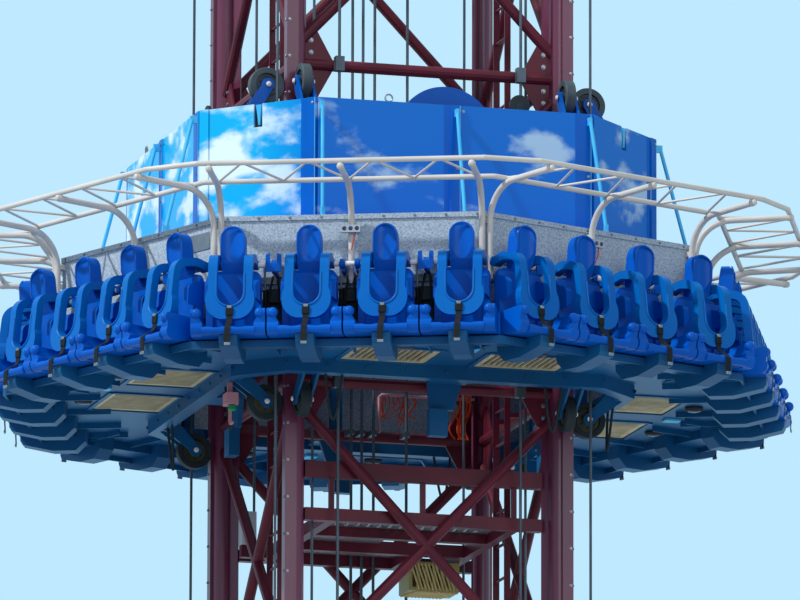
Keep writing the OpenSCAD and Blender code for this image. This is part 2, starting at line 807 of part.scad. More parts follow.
arm_a = wall_a + arm_off;
arm_pitch = arm_a * tan(22.5) - arm_corner;
chord_in_a = wall_a + chord_in_off;
chord_out_a = wall_a + chord_out_off;
chord_seat = (arm_d + chord_d) / 2;
arm_end_z = chord_out_z - chord_seat;
arm_rise = 14;
bend_a = arm_a + arm_bend;
bend_z = arm_end_z - arm_rise - arm_bend;

// Curved tubes that stand on the back wall and reach out over the seats
module canopy_arms() {
    color(off_white)
        for (k = [0 : 7], s = [-1, 0, 1])
            at_side(k) translate([s * arm_pitch, 0, 0]) {
                bar([0, -arm_a, -arm_down], [0, -arm_a, bend_z], arm_d);
                for (z = [20 - arm_down, -rim_h - 40]) box([-20, -arm_a, z - 20], [20, -wall_a, z + 20]);
                translate([0, -bend_a, bend_z])
                    rotate([90, 0, 90]) rotate_extrude(angle = 90)
                        translate([arm_bend, 0]) circle(d = arm_d);
                bar([0, -bend_a, bend_z + arm_bend], [0, -chord_out_a - 30, arm_end_z], arm_d);
            }
}

// Two chords along each side, braced in a zigzag and linked round the corners
module canopy_chords() {
    r = arm_bend + chord_seat;
    chord_in_z = bend_z + sqrt(r * r - (bend_a - chord_in_a) * (bend_a - chord_in_a));
    out_half = arm_pitch + 90;
    link = out_half + chord_d / 2 * sin(22.5) + seat_gap;
    corner = chord_out_a * tan(22.5) - link;
    color(off_white)
        for (k = [0 : 7])
            at_side(k) {
                bar([-out_half, -chord_out_a, chord_out_z], [out_half, -chord_out_a, chord_out_z], chord_d);
                bar([-arm_pitch - 60, -chord_in_a, chord_in_z], [arm_pitch + 60, -chord_in_a, chord_in_z], chord_d);
                for (s = [-1, 1], q = [0 : 3])
                    bar([s * ceil(q / 2) / 2 * arm_pitch, -chord_in_a, chord_in_z],
                        [s * (floor(q / 2) / 2 + 1 / 4) * arm_pitch, -chord_out_a, chord_out_z], rod_d);
                bar([link, -chord_out_a, chord_out_z],
                    [link + corner + corner * cos(45), -chord_out_a + corner * sin(45), chord_out_z], chord_d);
            }
}

// Lamp housings on the middle arm of each side, with three round lenses
module light_boxes() {
    w = 150;
    face = arm_a + arm_d / 2;
    color(off_white)
        for (k = [0 : 7])
            at_side(k)
                difference() {
                    box([-w / 2, -face - 40, bend_z - 70], [w / 2, -face, bend_z - 10]);
                    for (i = [-1, 0, 1])
                        translate([i * w / 3, -face - 34, bend_z - 40]) rotate([90, 0, 0])
                            cylinder(d = 38, h = 10);
                }
}

// Outline of a seat seen from outside: round headrest over a back with round shoulders
module seat_outline() {
    polygon(rounded([-head_w / 2, -shoulder_down - 60], [head_w / 2, -headrest_top], head_w / 2 - 3));
    polygon(rounded([-seat_w / 2, pan_low], [seat_w / 2, -shoulder_down], 70));
}

// Side view of the back shell: upright behind the body, thicker and leaning out at the head
module spine() {
    rear = back_a - shell_t;
    head = back_a + head_out;
    polygon([[rear, pan_low], [rear, -430], [rear + 35, -headrest_top], [head - 15, -headrest_top],
             [head, -headrest_top - 50], [head, -headrest_top - 180], [head - 35, -headrest_top - 290],
             [back_a, -shoulder_down - 20], [back_a, pan_low]]);
}

// A bucket seat: scooped headrest, back with side bolsters, pan with two rolls at each side
module seat() {
    scoop_r = 130;
    bolster = 55;
    head = back_a + head_out;
    difference() {
        union() {
            intersection() {
                across(seat_w + 2 * past) spine();
                outwards(back_a - 2 * shell_t, head + past) seat_outline();
            }
            for (s = [-1, 1]) {
                translate([s * (seat_w / 2 - bolster / 2), 0, 0]) across(bolster)
                    polygon(concat([[back_a - 10, pan_low], [back_a - 10, -shoulder_down - 60]],
                                   arc([back_a + 40, -shoulder_down - 150], 70, 90, 15),
                                   [[back_a + 130, -seat_top]]));
                translate([s * roll_pitch / 2, 0, 0]) across(roll_w) side_roll();
            }
            across(roll_pitch - roll_w + 10)
                polygon(concat([[back_a - shell_t, pan_low], [back_a - shell_t, -seat_top - 10]],
                               arc([pan_front - 32, -seat_top - 32], 32, 90, -70),
                               [[pan_front - 60, pan_low]]));
        }
        translate([0, -head - scoop_r + 35, -shoulder_down + 30]) cylinder(r = scoop_r, h = 400);
        for (s = [-1, 1])
            translate([s * 92, -back_a - 20, -seat_top + 148]) rotate([90, 0, 0]) cylinder(r = 160, h = pan_l);
    }
    box([-60, -back_a + shell_t, -900], [60, -wall_a, -820]);
}

// Side view of the rolls beside the pan: a small upper one and a larger lower one
module side_roll() {
    small = 36;
    large = 58;
    knob = -seat_top + 105;
    polygon(concat([[back_a + 120, pan_low], [back_a + 120, knob + small - 20]],
                   arc([pan_front - small, knob], small, 90, -60),
                   arc([pan_front - large - 10, -seat_top - 12], large, 40, -90)));
}

// Two rows of seats
module seat_rows(first) {
    color(seat_blue)
        for (k = [first, first + 1], i = [0 : row_seats - 1])
            at_side(k) at_seat(i) seat();
}

shaft_a = wall_a + shaft_off;

// Bearings that hold each row's restraint shaft off the back wall
module shaft_bearings() {
    t = 36;
    color(steel_grey)
        for (k = [0 : 7], x = [-seat_pitch, -seat_pitch / 10, seat_pitch / 10, seat_pitch])
            at_side(k) translate([x, 0, 0])
                difference() {
                    across(t)
                        union() {
                            translate([wall_a, -shaft_down - 60]) square([shaft_off, 100]);
                            translate([shaft_a, -shaft_down]) circle(r = 40);
                        }
                    translate([0, -shaft_a, -shaft_down]) rotate([0, 90, 0])
                        cylinder(d = shaft_d + 2 * shaft_gap, h = t + 2 * past, center = true);
                }
}

shaft_point = [shaft_a, -shaft_down];
rise_end = shaft_point + rise_l * [cos(rise_angle), sin(rise_angle)];
shoulder_centre = rise_end + shoulder_r * [sin(rise_angle), -cos(rise_angle)];
shoulder_end = shoulder_centre + shoulder_r * [sin(fall_angle), cos(fall_angle)];
front_start = shoulder_end + top_l * [cos(fall_angle), -sin(fall_angle)];
front_centre = front_start - front_r * [sin(fall_angle), cos(fall_angle)];
front_end = front_centre + front_r * [cos(bib_lean), sin(bib_lean)];
bib_drop = front_end[1] + bib_down;
bib_end = front_end + [bib_drop * tan(bib_lean), -bib_drop];

// Middle line of a restraint seen from the side: up from the shaft, over the shoulder and down
band_path = concat([shaft_point],
    arc(shoulder_centre, shoulder_r, 90 + rise_angle, 90 - fall_angle, 4),
    arc(front_centre, front_r, 90 - fall_angle, bib_lean, 8), [bib_end]);

// Direction across the middle line at point i
function across_line(p, i) =
    let (d = p[min(i + 1, len(p) - 1)] - p[max(i - 1, 0)]) [-d[1], d[0]] / norm(d);

// Outline of a band of thickness t round a middle line
function band(p, t) =
    concat([for (i = [0 : len(p) - 1]) p[i] + across_line(p, i) * t / 2],
           [for (i = [len(p) - 1 : -1 : 0]) p[i] - across_line(p, i) * t / 2]);

// A restraint seen from outside: two straps that widen into a bib with a round opening
module restraint_outline() {
    inner = (strap_pitch - strap_w) / 2;
    outer = (strap_pitch + strap_w) / 2;
    opening_z = -bib_down + bib_web + inner;
    difference() {
        union() {
            polygon(rounded([-bib_w / 2, -bib_down], [bib_w / 2, opening_z + inner], bib_r));
            for (s = [-1, 1])
                polygon([[s * inner, opening_z - 60], [s * outer, opening_z - 60], [s * outer, 0], [s * inner, 0]]);
        }
        translate([0, opening_z]) circle(r = inner);
        translate([-inner, opening_z]) square([2 * inner, bib_down]);
    }
}

module restraint() {
    intersection() {
        across(bib_w + 2 * past) polygon(band(band_path, band_t));
        outwards(shaft_a - hub_d, bib_end[0] + band_t) restraint_outline();
    }
    for (s = [-1, 1])
        translate([s * strap_pitch / 2, -shaft_a, -shaft_down]) rotate([0, 90, 0])
            cylinder(d = hub_d, h = strap_w + 6, center = true);
}

// One row of restraints on its common shaft
module restraint_row(k) {
    half = shaft_a * tan(22.5) - 22;
    color(seat_blue)
        at_side(k) {
            bar([-half, -shaft_a, -shaft_down], [half, -shaft_a, -shaft_down], shaft_d);
            for (i = [0 : row_seats - 1]) at_seat(i) restraint();
        }
}

// Two guide wheels on one line, drawn at the front and turned to their side
module wheel_pair(turn, z) {
    r = wheel_d / 2;
    rim = r - tyre_t;
    hub = wheel_w / 2 + fork_gap / 2;
    color(tyre_grey)
        rotate([0, 0, turn])
            for (s = [-1, 1])
                translate([s * leg_xy, -wheel_centre, wall_z + z]) rotate([0, 90, 0]) {
                    rotate_extrude()
                        polygon([[0, -hub], [axle_d, -hub], [axle_d, -20], [rim - 18, -14], [rim - 14, -wheel_w / 2],
                                 [r - 6, -wheel_w / 2], [r, -wheel_w / 2 + 6], [r, wheel_w / 2 - 6],
                                 [r - 6, wheel_w / 2], [rim - 14, wheel_w / 2], [rim - 18, 14], [axle_d, 20],
                                 [axle_d, hub], [0, hub]]);
                    cylinder(d = axle_d, h = 2 * (wheel_w / 2 + fork_gap + fork_t + 12), center = true);
                }
}

base_plates();
leg(-1, -1);  // leg_front_left
leg(1, -1);  // leg_front_right
leg(-1, 1);  // leg_rear_left
leg(1, 1);  // leg_rear_right
lattice(0);  // lattice_front
lattice(90);  // lattice_right
lattice(180);  // lattice_rear
lattice(270);  // lattice_left
head_frame();
head_sheaves();
hoist_ropes();
service_ladder();
service_platform();
platform_decks();
tower_cables();
equipment_boxes();
upper_carriage();
lower_carriage();
brake_carriers();
housing_face(0);  // housing_front
housing_face(90);  // housing_right
housing_face(180);  // housing_rear
housing_face(270);  // housing_left
housing_corners();
pulley_covers();
back_wall();
ring_deck();
floor_pans();
seat_pods();
floor_gratings();
tie_rods();
canopy_arms();
canopy_chords();
light_boxes();
seat_rows(0);  // seats_front
seat_rows(2);  // seats_right
seat_rows(4);  // seats_rear
seat_rows(6);  // seats_left
shaft_bearings();
restraint_row(0);  // restraints_front_left
restraint_row(1);  // restraints_front_right
restraint_row(2);  // restraints_right_front
restraint_row(3);  // restraints_right_rear
restraint_row(4);  // restraints_rear_right
restraint_row(5);  // restraints_rear_left
restraint_row(6);  // restraints_left_rear
restraint_row(7);  // restraints_left_front
wheel_pair(0, wheel_up);  // wheels_upper_front
wheel_pair(90, wheel_up);  // wheels_upper_right
wheel_pair(180, wheel_up);  // wheels_upper_rear
wheel_pair(270, wheel_up);  // wheels_upper_left
wheel_pair(0, -wheel_down);  // wheels_lower_front
wheel_pair(90, -wheel_down);  // wheels_lower_right
wheel_pair(180, -wheel_down);  // wheels_lower_rear
wheel_pair(270, -wheel_down);  // wheels_lower_left
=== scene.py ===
import math
import random

import bpy
from mathutils import Matrix, Vector


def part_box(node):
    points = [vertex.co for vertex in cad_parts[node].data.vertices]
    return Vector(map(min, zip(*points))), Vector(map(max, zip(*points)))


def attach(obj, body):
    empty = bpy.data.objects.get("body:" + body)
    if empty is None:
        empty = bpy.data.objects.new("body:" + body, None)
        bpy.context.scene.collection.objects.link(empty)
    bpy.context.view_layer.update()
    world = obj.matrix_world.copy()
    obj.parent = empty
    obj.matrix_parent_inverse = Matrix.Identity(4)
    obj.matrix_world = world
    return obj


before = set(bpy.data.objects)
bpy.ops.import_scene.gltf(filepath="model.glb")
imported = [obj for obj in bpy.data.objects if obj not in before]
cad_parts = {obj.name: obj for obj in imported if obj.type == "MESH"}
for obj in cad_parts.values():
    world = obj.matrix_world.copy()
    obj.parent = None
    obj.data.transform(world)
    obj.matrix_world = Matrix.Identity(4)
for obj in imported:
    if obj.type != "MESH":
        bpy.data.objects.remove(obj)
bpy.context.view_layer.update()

# Sizes in metres. Names in _A are distances from the ride's axis. Heights of the gondola count from
# the top of its back wall, which is at WALL_TOP over the ground.
SIDES = 8
EIGHTH = math.radians(360 / SIDES)
RIM_OUT = 0.012  # rim of the back wall and of the housing, over the plain face
WALL_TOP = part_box("back_wall")[1].z
WALL_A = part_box("back_wall")[1].y * math.cos(EIGHTH / 2) - RIM_OUT
ROWS = ["front_left", "front_right", "right_front", "right_rear",
        "rear_right", "rear_left", "left_rear", "left_front"]
TURNS = {"front": 0, "right": 90, "rear": 180, "left": 270}
CORNERS = [(-1, -1), (1, -1), (-1, 1), (1, 1)]
BOTH = (-1, 1)

# Seats: one row on each side of the gondola
SEATS = 4
SEAT_PITCH = 0.604
BACK_A = WALL_A + 0.269
PAN_FRONT = BACK_A + 0.390
SEAT_TOP = -1.010
PAN_LOW = -1.075
HEAD_A = BACK_A + 0.085
HEAD_HALF = 0.098
HEAD_TOP = -0.150
ROLL_OFF = 0.250
SHAFT_A = WALL_A + 0.149  # the shaft on which a row's restraints turn
SHAFT_Z = -0.430

# Restraints: the bib leans outwards from its start and ends at BIB_LOW
BAND_T = 0.066
BIB_LEAN = math.radians(7)
BIB_START = (WALL_A + 0.457, -0.505)
BIB_LOW = -0.937
OPENING_R = 0.104
OPENING_Z = BIB_LOW + 0.115 + OPENING_R
STRAP_OFF = 0.140
BELT_T = 0.005
BELT_SPLIT_Z = BIB_LOW - 0.004

# Tower, housing and guide wheels
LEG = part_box("leg_front_right")[1].x - 0.1  # a leg's centre from the axis, in X and in Y
RAIL_FACE = LEG + 0.1
BAY_H = 2.59
BASE_H = 0.3
BAYS = 6
HOUSING_A = -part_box("housing_front")[0].y - RIM_OUT
HOUSING_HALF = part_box("housing_front")[1].x
HOUSING_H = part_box("housing_front")[1].z - WALL_TOP
WHEEL_CENTRE = RAIL_FACE + 0.1453  # the wheel's radius and its clearance
WHEEL_LEVELS = {"upper": 1.280, "lower": -1.312}

random.seed(7)


# Colours and materials

def colour(code):
    """Linear colour of a web colour such as 0f5bd0."""
    channels = [int(code[i:i + 2], 16) / 255 for i in (0, 2, 4)]
    return [c / 12.92 if c <= 0.04045 else ((c + 0.055) / 1.055) ** 2.4 for c in channels] + [1]


def shader(name, roughness, metallic=0.0, gloss=0.2):
    """A surface of its own; gloss is how strongly it mirrors its surroundings."""
    material = bpy.data.materials.new(name)
    material.use_nodes = True
    surface = material.node_tree.nodes["Principled BSDF"]
    surface.inputs["Roughness"].default_value = roughness
    surface.inputs["Metallic"].default_value = metallic
    surface.inputs["Specular IOR Level"].default_value = gloss
    return material, material.node_tree, surface


def noise(tree, scale, detail=3.0, stretch=(1, 1, 1)):
    """Noise over the object's own coordinates; stretch below 1 draws it out along that axis."""
    place = tree.nodes.new("ShaderNodeTexCoord")
    mapping = tree.nodes.new("ShaderNodeMapping")
    mapping.inputs["Scale"].default_value = stretch
    texture = tree.nodes.new("ShaderNodeTexNoise")
    texture.inputs["Scale"].default_value = scale
    texture.inputs["Detail"].default_value = detail
    tree.links.new(place.outputs["Object"], mapping.inputs["Vector"])
    tree.links.new(mapping.outputs["Vector"], texture.inputs["Vector"])
    return texture.outputs["Fac"]


def ramp(tree, factor, stops):
    """Colours along a factor: stops are (position, colour code)."""
    node = tree.nodes.new("ShaderNodeValToRGB")
    while len(node.color_ramp.elements) < len(stops):
        node.color_ramp.elements.new(1)
    for element, (position, code) in zip(node.color_ramp.elements, stops):
        element.position = position
        element.color = colour(code)
    tree.links.new(factor, node.inputs["Fac"])
    return node.outputs["Color"]


def bump(tree, surface, height, strength, distance):
    """A fine unevenness of a surface."""
    node = tree.nodes.new("ShaderNodeBump")
    node.inputs["Strength"].default_value = strength
    node.inputs["Distance"].default_value = distance
    tree.links.new(height, node.inputs["Height"])
    tree.links.new(node.outputs["Normal"], surface.inputs["Normal"])


def mottled(name, code, other, scale, roughness, metallic=0.0, gloss=0.2, stretch=(1, 1, 1), grain=0.0):
    """Paint or plastic whose colour drifts softly between two tones."""
    material, tree, surface = shader(name, roughness, metallic, gloss)
    drift = noise(tree, scale, 4.0, stretch)
    tree.links.new(ramp(tree, drift, [(0.35, code), (0.75, other)]), surface.inputs["Base Color"])
    if grain:
        bump(tree, surface, noise(tree, 220.0), grain, 0.002)
    return material


def speckled_coating():
    """Grey wall coating with a fine grain of darker and bluer specks."""
    material, tree, surface = shader("speckled_coating", 0.62)
    grain = noise(tree, 75.0, 5.0)
    stops = [(0.30, "7c92a8"), (0.46, "9fb3c4"), (0.54, "acbfce"), (0.72, "c6d4de")]
    tree.links.new(ramp(tree, grain, stops), surface.inputs["Base Color"])
    bump(tree, surface, grain, 0.15, 0.002)
    return material


def scaled(tree, value, low, high, smooth=False):
    """A value brought from the range low to high onto 0 to 1."""
    node = tree.nodes.new("ShaderNodeMapRange")
    node.interpolation_type = "SMOOTHSTEP" if smooth else "LINEAR"
    node.inputs["From Min"].default_value = low
    node.inputs["From Max"].default_value = high
    tree.links.new(value, node.inputs["Value"])
    return node.outputs["Result"]


def along_x(tree):
    """The X coordinate of a point of the piece."""
    place = tree.nodes.new("ShaderNodeTexCoord")
    split = tree.nodes.new("ShaderNodeSeparateXYZ")
    tree.links.new(place.outputs["Object"], split.inputs["Vector"])
    return split.outputs["X"]


def weighted(tree, value, weight, other):
    """A value times a weight, plus another value."""
    node = tree.nodes.new("ShaderNodeMath")
    node.operation = "MULTIPLY_ADD"
    node.inputs[1].default_value = weight
    tree.links.new(value, node.inputs[0])
    tree.links.new(other, node.inputs[2])
    return node.outputs["Value"]


def two_tone(name, left_code, right_code, border, blur=0.05, wander=0.15):
    """Paint of one colour left of a border along X and another right of it."""
    material, tree, surface = shader(name, 0.45)
    split = scaled(tree, along_x(tree), border - blur, border + blur)
    drift = weighted(tree, noise(tree, 6.0), wander, split)
    stops = [(0.2, left_code), (0.9, right_code)]
    tree.links.new(ramp(tree, drift, stops), surface.inputs["Base Color"])
    return material


def printed_sky_and_painted_sunlight():
    """Gloss panels printed with a blue sky and drifting clouds. Towards the left of the ride the blue and
    the clouds are painted paler, a painted sunlit side, and the clouds cover more.
    """
    material, tree, surface = shader("printed_sky_and_painted_sunlight", 0.25, gloss=0.1)
    # Painted sunlight: this factor grows towards the left of the ride and makes the blue and the clouds
    # paler there, and the clouds cover more.
    left = scaled(tree, along_x(tree), -HOUSING_HALF + 0.05, -HOUSING_HALF - 0.45)
    sky = ramp(tree, left, [(0.0, "0070d2"), (1.0, "12b0ea")])
    cloud = ramp(tree, left, [(0.0, "a9cdec"), (1.0, "dcf3fd")])
    cover = weighted(tree, left, 0.07, noise(tree, 1.7, 9.0, (1.0, 1.0, 1.6)))
    puffs = scaled(tree, cover, 0.53, 0.66, smooth=True)
    mix = tree.nodes.new("ShaderNodeMix")
    mix.data_type = "RGBA"
    tree.links.new(puffs, mix.inputs["Factor"])
    tree.links.new(sky, mix.inputs["A"])
    tree.links.new(cloud, mix.inputs["B"])
    tree.links.new(mix.outputs["Result"], surface.inputs["Base Color"])
    return material


MAROON = mottled("maroon_enamel", "70304c", "4f2038", 2.2, 0.30, gloss=0.45, stretch=(1, 1, 0.15))
OXIDE = mottled("oxide_red_enamel", "641f30", "481524", 2.6, 0.42)
# Sky print with painted sunlight: paler towards the left of the ride.
SKY_PRINT_AND_PAINTED_SUNLIGHT = printed_sky_and_painted_sunlight()
BLUE = mottled("blue_enamel", "005cc0", "0050a8", 1.5, 0.35, gloss=0.12)
PANEL_BLUE = mottled("panel_strip_blue", "0064c8", "0058b4", 1.5, 0.30, gloss=0.1)
JOINT_BLUE = mottled("panel_joint_blue", "58aee6", "3c94d8", 3.0, 0.40)
# Pale cyan; on the tie rods it is painted sunlight over their blue paint.
CYAN_AND_PAINTED_SUNLIGHT = mottled("cyan_enamel_and_painted_sunlight", "4cc0f0", "34ace8", 3.0, 0.35)
TEAL = mottled("teal_enamel", "105a8c", "0c4876", 1.2, 0.42)
SEAT_BLUE = mottled("seat_plastic", "005cc4", "004fae", 1.4, 0.30, gloss=0.12, grain=0.04)
PAD_BLUE = mottled("restraint_plastic", "0468b8", "005eb8", 1.8, 0.32, gloss=0.12, grain=0.04)
PALE = mottled("pale_enamel", "d0cfcb", "bcbcb9", 2.5, 0.35)
WALL = speckled_coating()
TAN = mottled("grating_alloy", "cfc5a2", "b3a987", 9.0, 0.5, 0.2)
STEEL = mottled("galvanised_steel", "8d939a", "777d85", 12.0, 0.4, 0.7)
CABLE = mottled("cable_grey", "56606a", "474f58", 6.0, 0.45, 0.4)
# Dark rubber; on the block inside each corner slot the same dark is painted shade.
DARK_RUBBER_AND_PAINTED_SHADE = mottled("dark_rubber_and_painted_shade", "2a3439", "1e262a", 10.0, 0.65)
WHEEL_GREY = mottled("wheel_tyre_grey", "4a555c", "3a444b", 10.0, 0.55)
SLATE = mottled("slate_wheel", "3b4650", "2e373f", 10.0, 0.45)
OLIVE = mottled("olive_wheel", "55523a", "3e3c2b", 10.0, 0.45)
BLACK = mottled("black_webbing", "101317", "1a1e24", 30.0, 0.7, grain=0.2)
LENS = mottled("blue_lens", "0c3468", "0a2650", 8.0, 0.12, gloss=0.5)
BOX_GREY = mottled("box_paint", "b6c1ca", "a5b0b9", 3.0, 0.45)
WHITE = mottled("white_plastic", "e6e8e8", "d6d9da", 3.0, 0.4)
CREAM = mottled("cream_paint", "d8c98e", "c2b278", 5.0, 0.5)
ORANGE = mottled("orange_hose", "d8481c", "b23a16", 8.0, 0.5)
GREEN = mottled("green_nylon", "1d8f5c", "177a4e", 6.0, 0.45)
# Rose; on the buffer bracket it is painted sunlight on maroon paint.
ROSE_PAINT_AND_PAINTED_SUNLIGHT = mottled("rose_paint_and_painted_sunlight", "c48d97", "a8747f", 5.0, 0.45)
BOX_AND_BASKET = two_tone("box_and_basket_paint", "b6c1ca", "a39a62", 0.2)


# Shapes: each is (points, faces)

def prism(outline, depth):
    """A drawing in X and Y, pulled up along Z."""
    n = len(outline)
    points = [(x, y, 0) for x, y in outline] + [(x, y, depth) for x, y in outline]
    faces = [tuple(range(n - 1, -1, -1)), tuple(range(n, 2 * n))]
    return points, faces + [(i, (i + 1) % n, n + (i + 1) % n, n + i) for i in range(n)]


def moved(shape, place):
    """A shape put somewhere else."""
    return [place @ Vector(p) for p in shape[0]], shape[1]


def block(low, high, chamfer=0.0):
    """A box whose upright edges may be chamfered."""
    (x0, y0, z0), (x1, y1, z1) = low, high
    c = chamfer
    outline = [(x0 + c, y0), (x1 - c, y0), (x1, y0 + c), (x1, y1 - c),
               (x1 - c, y1), (x0 + c, y1), (x0, y1 - c), (x0, y0 + c)]
    if not c:
        outline = outline[::2]
    return moved(prism(outline, z1 - z0), Matrix.Translation((0, 0, z0)))


def across(outline, width, x=0.0):
    """A drawing of (distance from the axis, height), with its width along the side."""
    points, faces = prism(outline, width)
    return [Vector((x + p[2] - width / 2, -p[0], p[1])) for p in points], faces


def strip(path, thickness):
    """Outline of a thin band that follows a path of (distance, height)."""
    near, far = [], []
    for i, (a, z) in enumerate(path):
        (a0, z0), (a1, z1) = path[max(i - 1, 0)], path[min(i + 1, len(path) - 1)]
        length = math.hypot(a1 - a0, z1 - z0)
        u, w = -(z1 - z0) / length * thickness / 2, (a1 - a0) / length * thickness / 2
        near.append((a + u, z + w))
        far.append((a - u, z - w))
    return near + far[::-1]


def tube(path, radius, sides=10, closed=False):
    """A round bar along a path of points."""
    path = [Vector(p) for p in path]
    n = len(path)
    points, faces = [], []
    normal = None
    for i, p in enumerate(path):
        before = path[(i - 1) % n] if closed or i else p
        after = path[(i + 1) % n] if closed or i < n - 1 else p
        ahead = (after - before).normalized()
        if normal is None:
            normal = ahead.orthogonal()
        normal = (normal - ahead * normal.dot(ahead)).normalized()
        other = ahead.cross(normal)
        for j in range(sides):
            t = 2 * math.pi * j / sides
            points.append(p + (normal * math.cos(t) + other * math.sin(t)) * radius)
    for i in range(n if closed else n - 1):
        a, b = i * sides, ((i + 1) % n) * sides
        faces += [(a + j, a + (j + 1) % sides, b + (j + 1) % sides, b + j) for j in range(sides)]
    if not closed:
        faces += [tuple(range(sides - 1, -1, -1)), tuple(range((n - 1) * sides, n * sides))]
    return points, faces


def ring(radius, thickness):
    """A round bar bent into a closed ring."""
    angles = [2 * math.pi * i / 24 for i in range(24)]
    return tube([(radius * math.cos(t), radius * math.sin(t), 0) for t in angles], thickness, 8, closed=True)


def steps(count):
    """Even steps from 0 to 1."""
    return [n / count for n in range(count + 1)]


def lathe(profile, sides=24):
    """A profile of (radius, height) turned round Z, closed at both ends on the axis."""
    points, faces = [], []
    for r, z in profile:
        for j in range(sides):
            t = 2 * math.pi * j / sides
            points.append((r * math.cos(t), r * math.sin(t), z))
    for i in range(len(profile) - 1):
        a, b = i * sides, (i + 1) * sides
        faces += [(a + j, a + (j + 1) % sides, b + (j + 1) % sides, b + j) for j in range(sides)]
    last = (len(profile) - 1) * sides
    return points, faces + [tuple(range(sides - 1, -1, -1)), tuple(range(last, last + sides))]


def bolt(radius=0.014, height=0.012):
    """A hexagon head on a washer."""
    washer = lathe([(radius * 1.3, 0), (radius * 1.3, height * 0.25)], 12)
    head = lathe([(radius, height * 0.25), (radius, height * 0.85), (radius * 0.85, height)], 6)
    shift = len(washer[0])
    return washer[0] + head[0], washer[1] + [tuple(shift + i for i in f) for f in head[1]]


def dome(radius, height, sides=20):
    """A low round cap that stands on Z = 0."""
    angles = [math.pi / 2 * i / 5 for i in range(5)]
    profile = [(radius * math.cos(t), height * math.sin(t)) for t in angles]
    return lathe(profile + [(radius * 0.03, height)], sides)


def ball(radius):
    """A sphere round the origin."""
    angles = [math.pi * (i / 10 - 0.5) for i in range(1, 10)]
    return lathe([(radius * math.cos(t), radius * math.sin(t)) for t in angles], 20)


class Piece:
    """Gathers shapes into one object of the scene."""

    def __init__(self):
        self.points, self.faces = [], []

    def add(self, shape, place=None):
        """Adds a shape, moved to a place."""
        if place is not None:
            shape = moved(shape, place)
        base = len(self.points)
        self.points += [tuple(p) for p in shape[0]]
        self.faces += [tuple(base + i for i in face) for face in shape[1]]

    def make(self, name, body, material, slot, bevel=0.0):
        """Links the object, which rides on a body. The slot argument is not used."""
        mesh = bpy.data.meshes.new(name)
        mesh.from_pydata(self.points, [], self.faces)
        mesh.materials.append(material)
        for polygon in mesh.polygons:
            polygon.use_smooth = True
        mesh.set_sharp_from_angle(angle=math.radians(40))
        thing = bpy.data.objects.new(name, mesh)
        bpy.context.scene.collection.objects.link(thing)
        if bevel:
            edge = thing.modifiers.new("edges", "BEVEL")
            edge.width = bevel
            edge.segments = 2
            edge.limit_method = "ANGLE"
        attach(thing, body)


def pieces(count):
    """Empty pieces to gather shapes in."""
    return [Piece() for _ in range(count)]


def side(k, x=0.0):
    """Place on side k of the gondola: +X along the side, -Y outwards, z = 0 at the wall's top."""
    turn = Matrix.Rotation(EIGHTH * k - EIGHTH / 2, 4, "Z")
    return Matrix.Translation((0, 0, WALL_TOP)) @ turn @ Matrix.Translation((x, 0, 0))


def quarter(degrees):
    """Place on a side of the tower, turned from the front."""
    return Matrix.Rotation(math.radians(degrees), 4, "Z")


def seat_x(i):
    """Distance of seat i from the middle of its row."""
    return (i - (SEATS - 1) / 2) * SEAT_PITCH


def facing_out(x, a, z):
    """Place whose Z points outwards from a side."""
    return Matrix.Translation((x, -a, z)) @ Matrix.Rotation(math.radians(90), 4, "X")


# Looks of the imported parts

def dress_frame():
    """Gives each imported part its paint; parts that aren't listed are maroon."""
    # The tie rods take pale cyan: painted sunlight over their blue paint.
    looks = {"back_wall": WALL, "floor_pans": TEAL, "seat_pods": TEAL, "lower_carriage": TEAL,
             "brake_carriers": TEAL, "floor_gratings": TAN, "tie_rods": CYAN_AND_PAINTED_SUNLIGHT,
             "canopy_arms": PALE, "canopy_chords": PALE, "light_boxes": BOX_GREY,
             "shaft_bearings": BLUE, "equipment_boxes": BOX_AND_BASKET, "platform_decks": STEEL,
             "tower_cables": CABLE, "hoist_ropes": CABLE, "head_sheaves": STEEL,
             "service_ladder": OXIDE, "service_platform": OXIDE, "ring_deck": BLUE,
             "upper_carriage": BLUE, "pulley_covers": BLUE}
    families = {"seats_": SEAT_BLUE, "restraints_": PAD_BLUE, "wheels_upper": WHEEL_GREY,
                "wheels_lower": DARK_RUBBER_AND_PAINTED_SHADE, "housing_": SKY_PRINT_AND_PAINTED_SUNLIGHT, "lattice_": OXIDE}
    for name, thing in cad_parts.items():
        look = looks.get(name, MAROON)
        for start, family_look in families.items():
            if name.startswith(start):
                look = family_look
        if not thing.material_slots:
            thing.data.materials.append(look)
        for slot in thing.material_slots:
            slot.material = look


# Restraints

def bib_front(z):
    """Distance of the bib's front face from the axis at a height."""
    return BIB_START[0] + (BIB_START[1] - z) * math.tan(BIB_LEAN) + BAND_T / 2 / math.cos(BIB_LEAN)


def opening_lip():
    """Raised lip round the inside of the straps and the bib's opening."""
    r = OPENING_R + 0.008
    top = -0.560
    middle = (top + OPENING_Z) / 2
    arc = [math.pi * t for t in steps(16)]
    path = [(-r, top), (-r, middle)]
    path += [(-r * math.cos(t), OPENING_Z - r * math.sin(t)) for t in arc]
    path += [(r, middle), (r, top)]
    return tube([(x, -bib_front(z), z) for x, z in path], 0.009, 8)


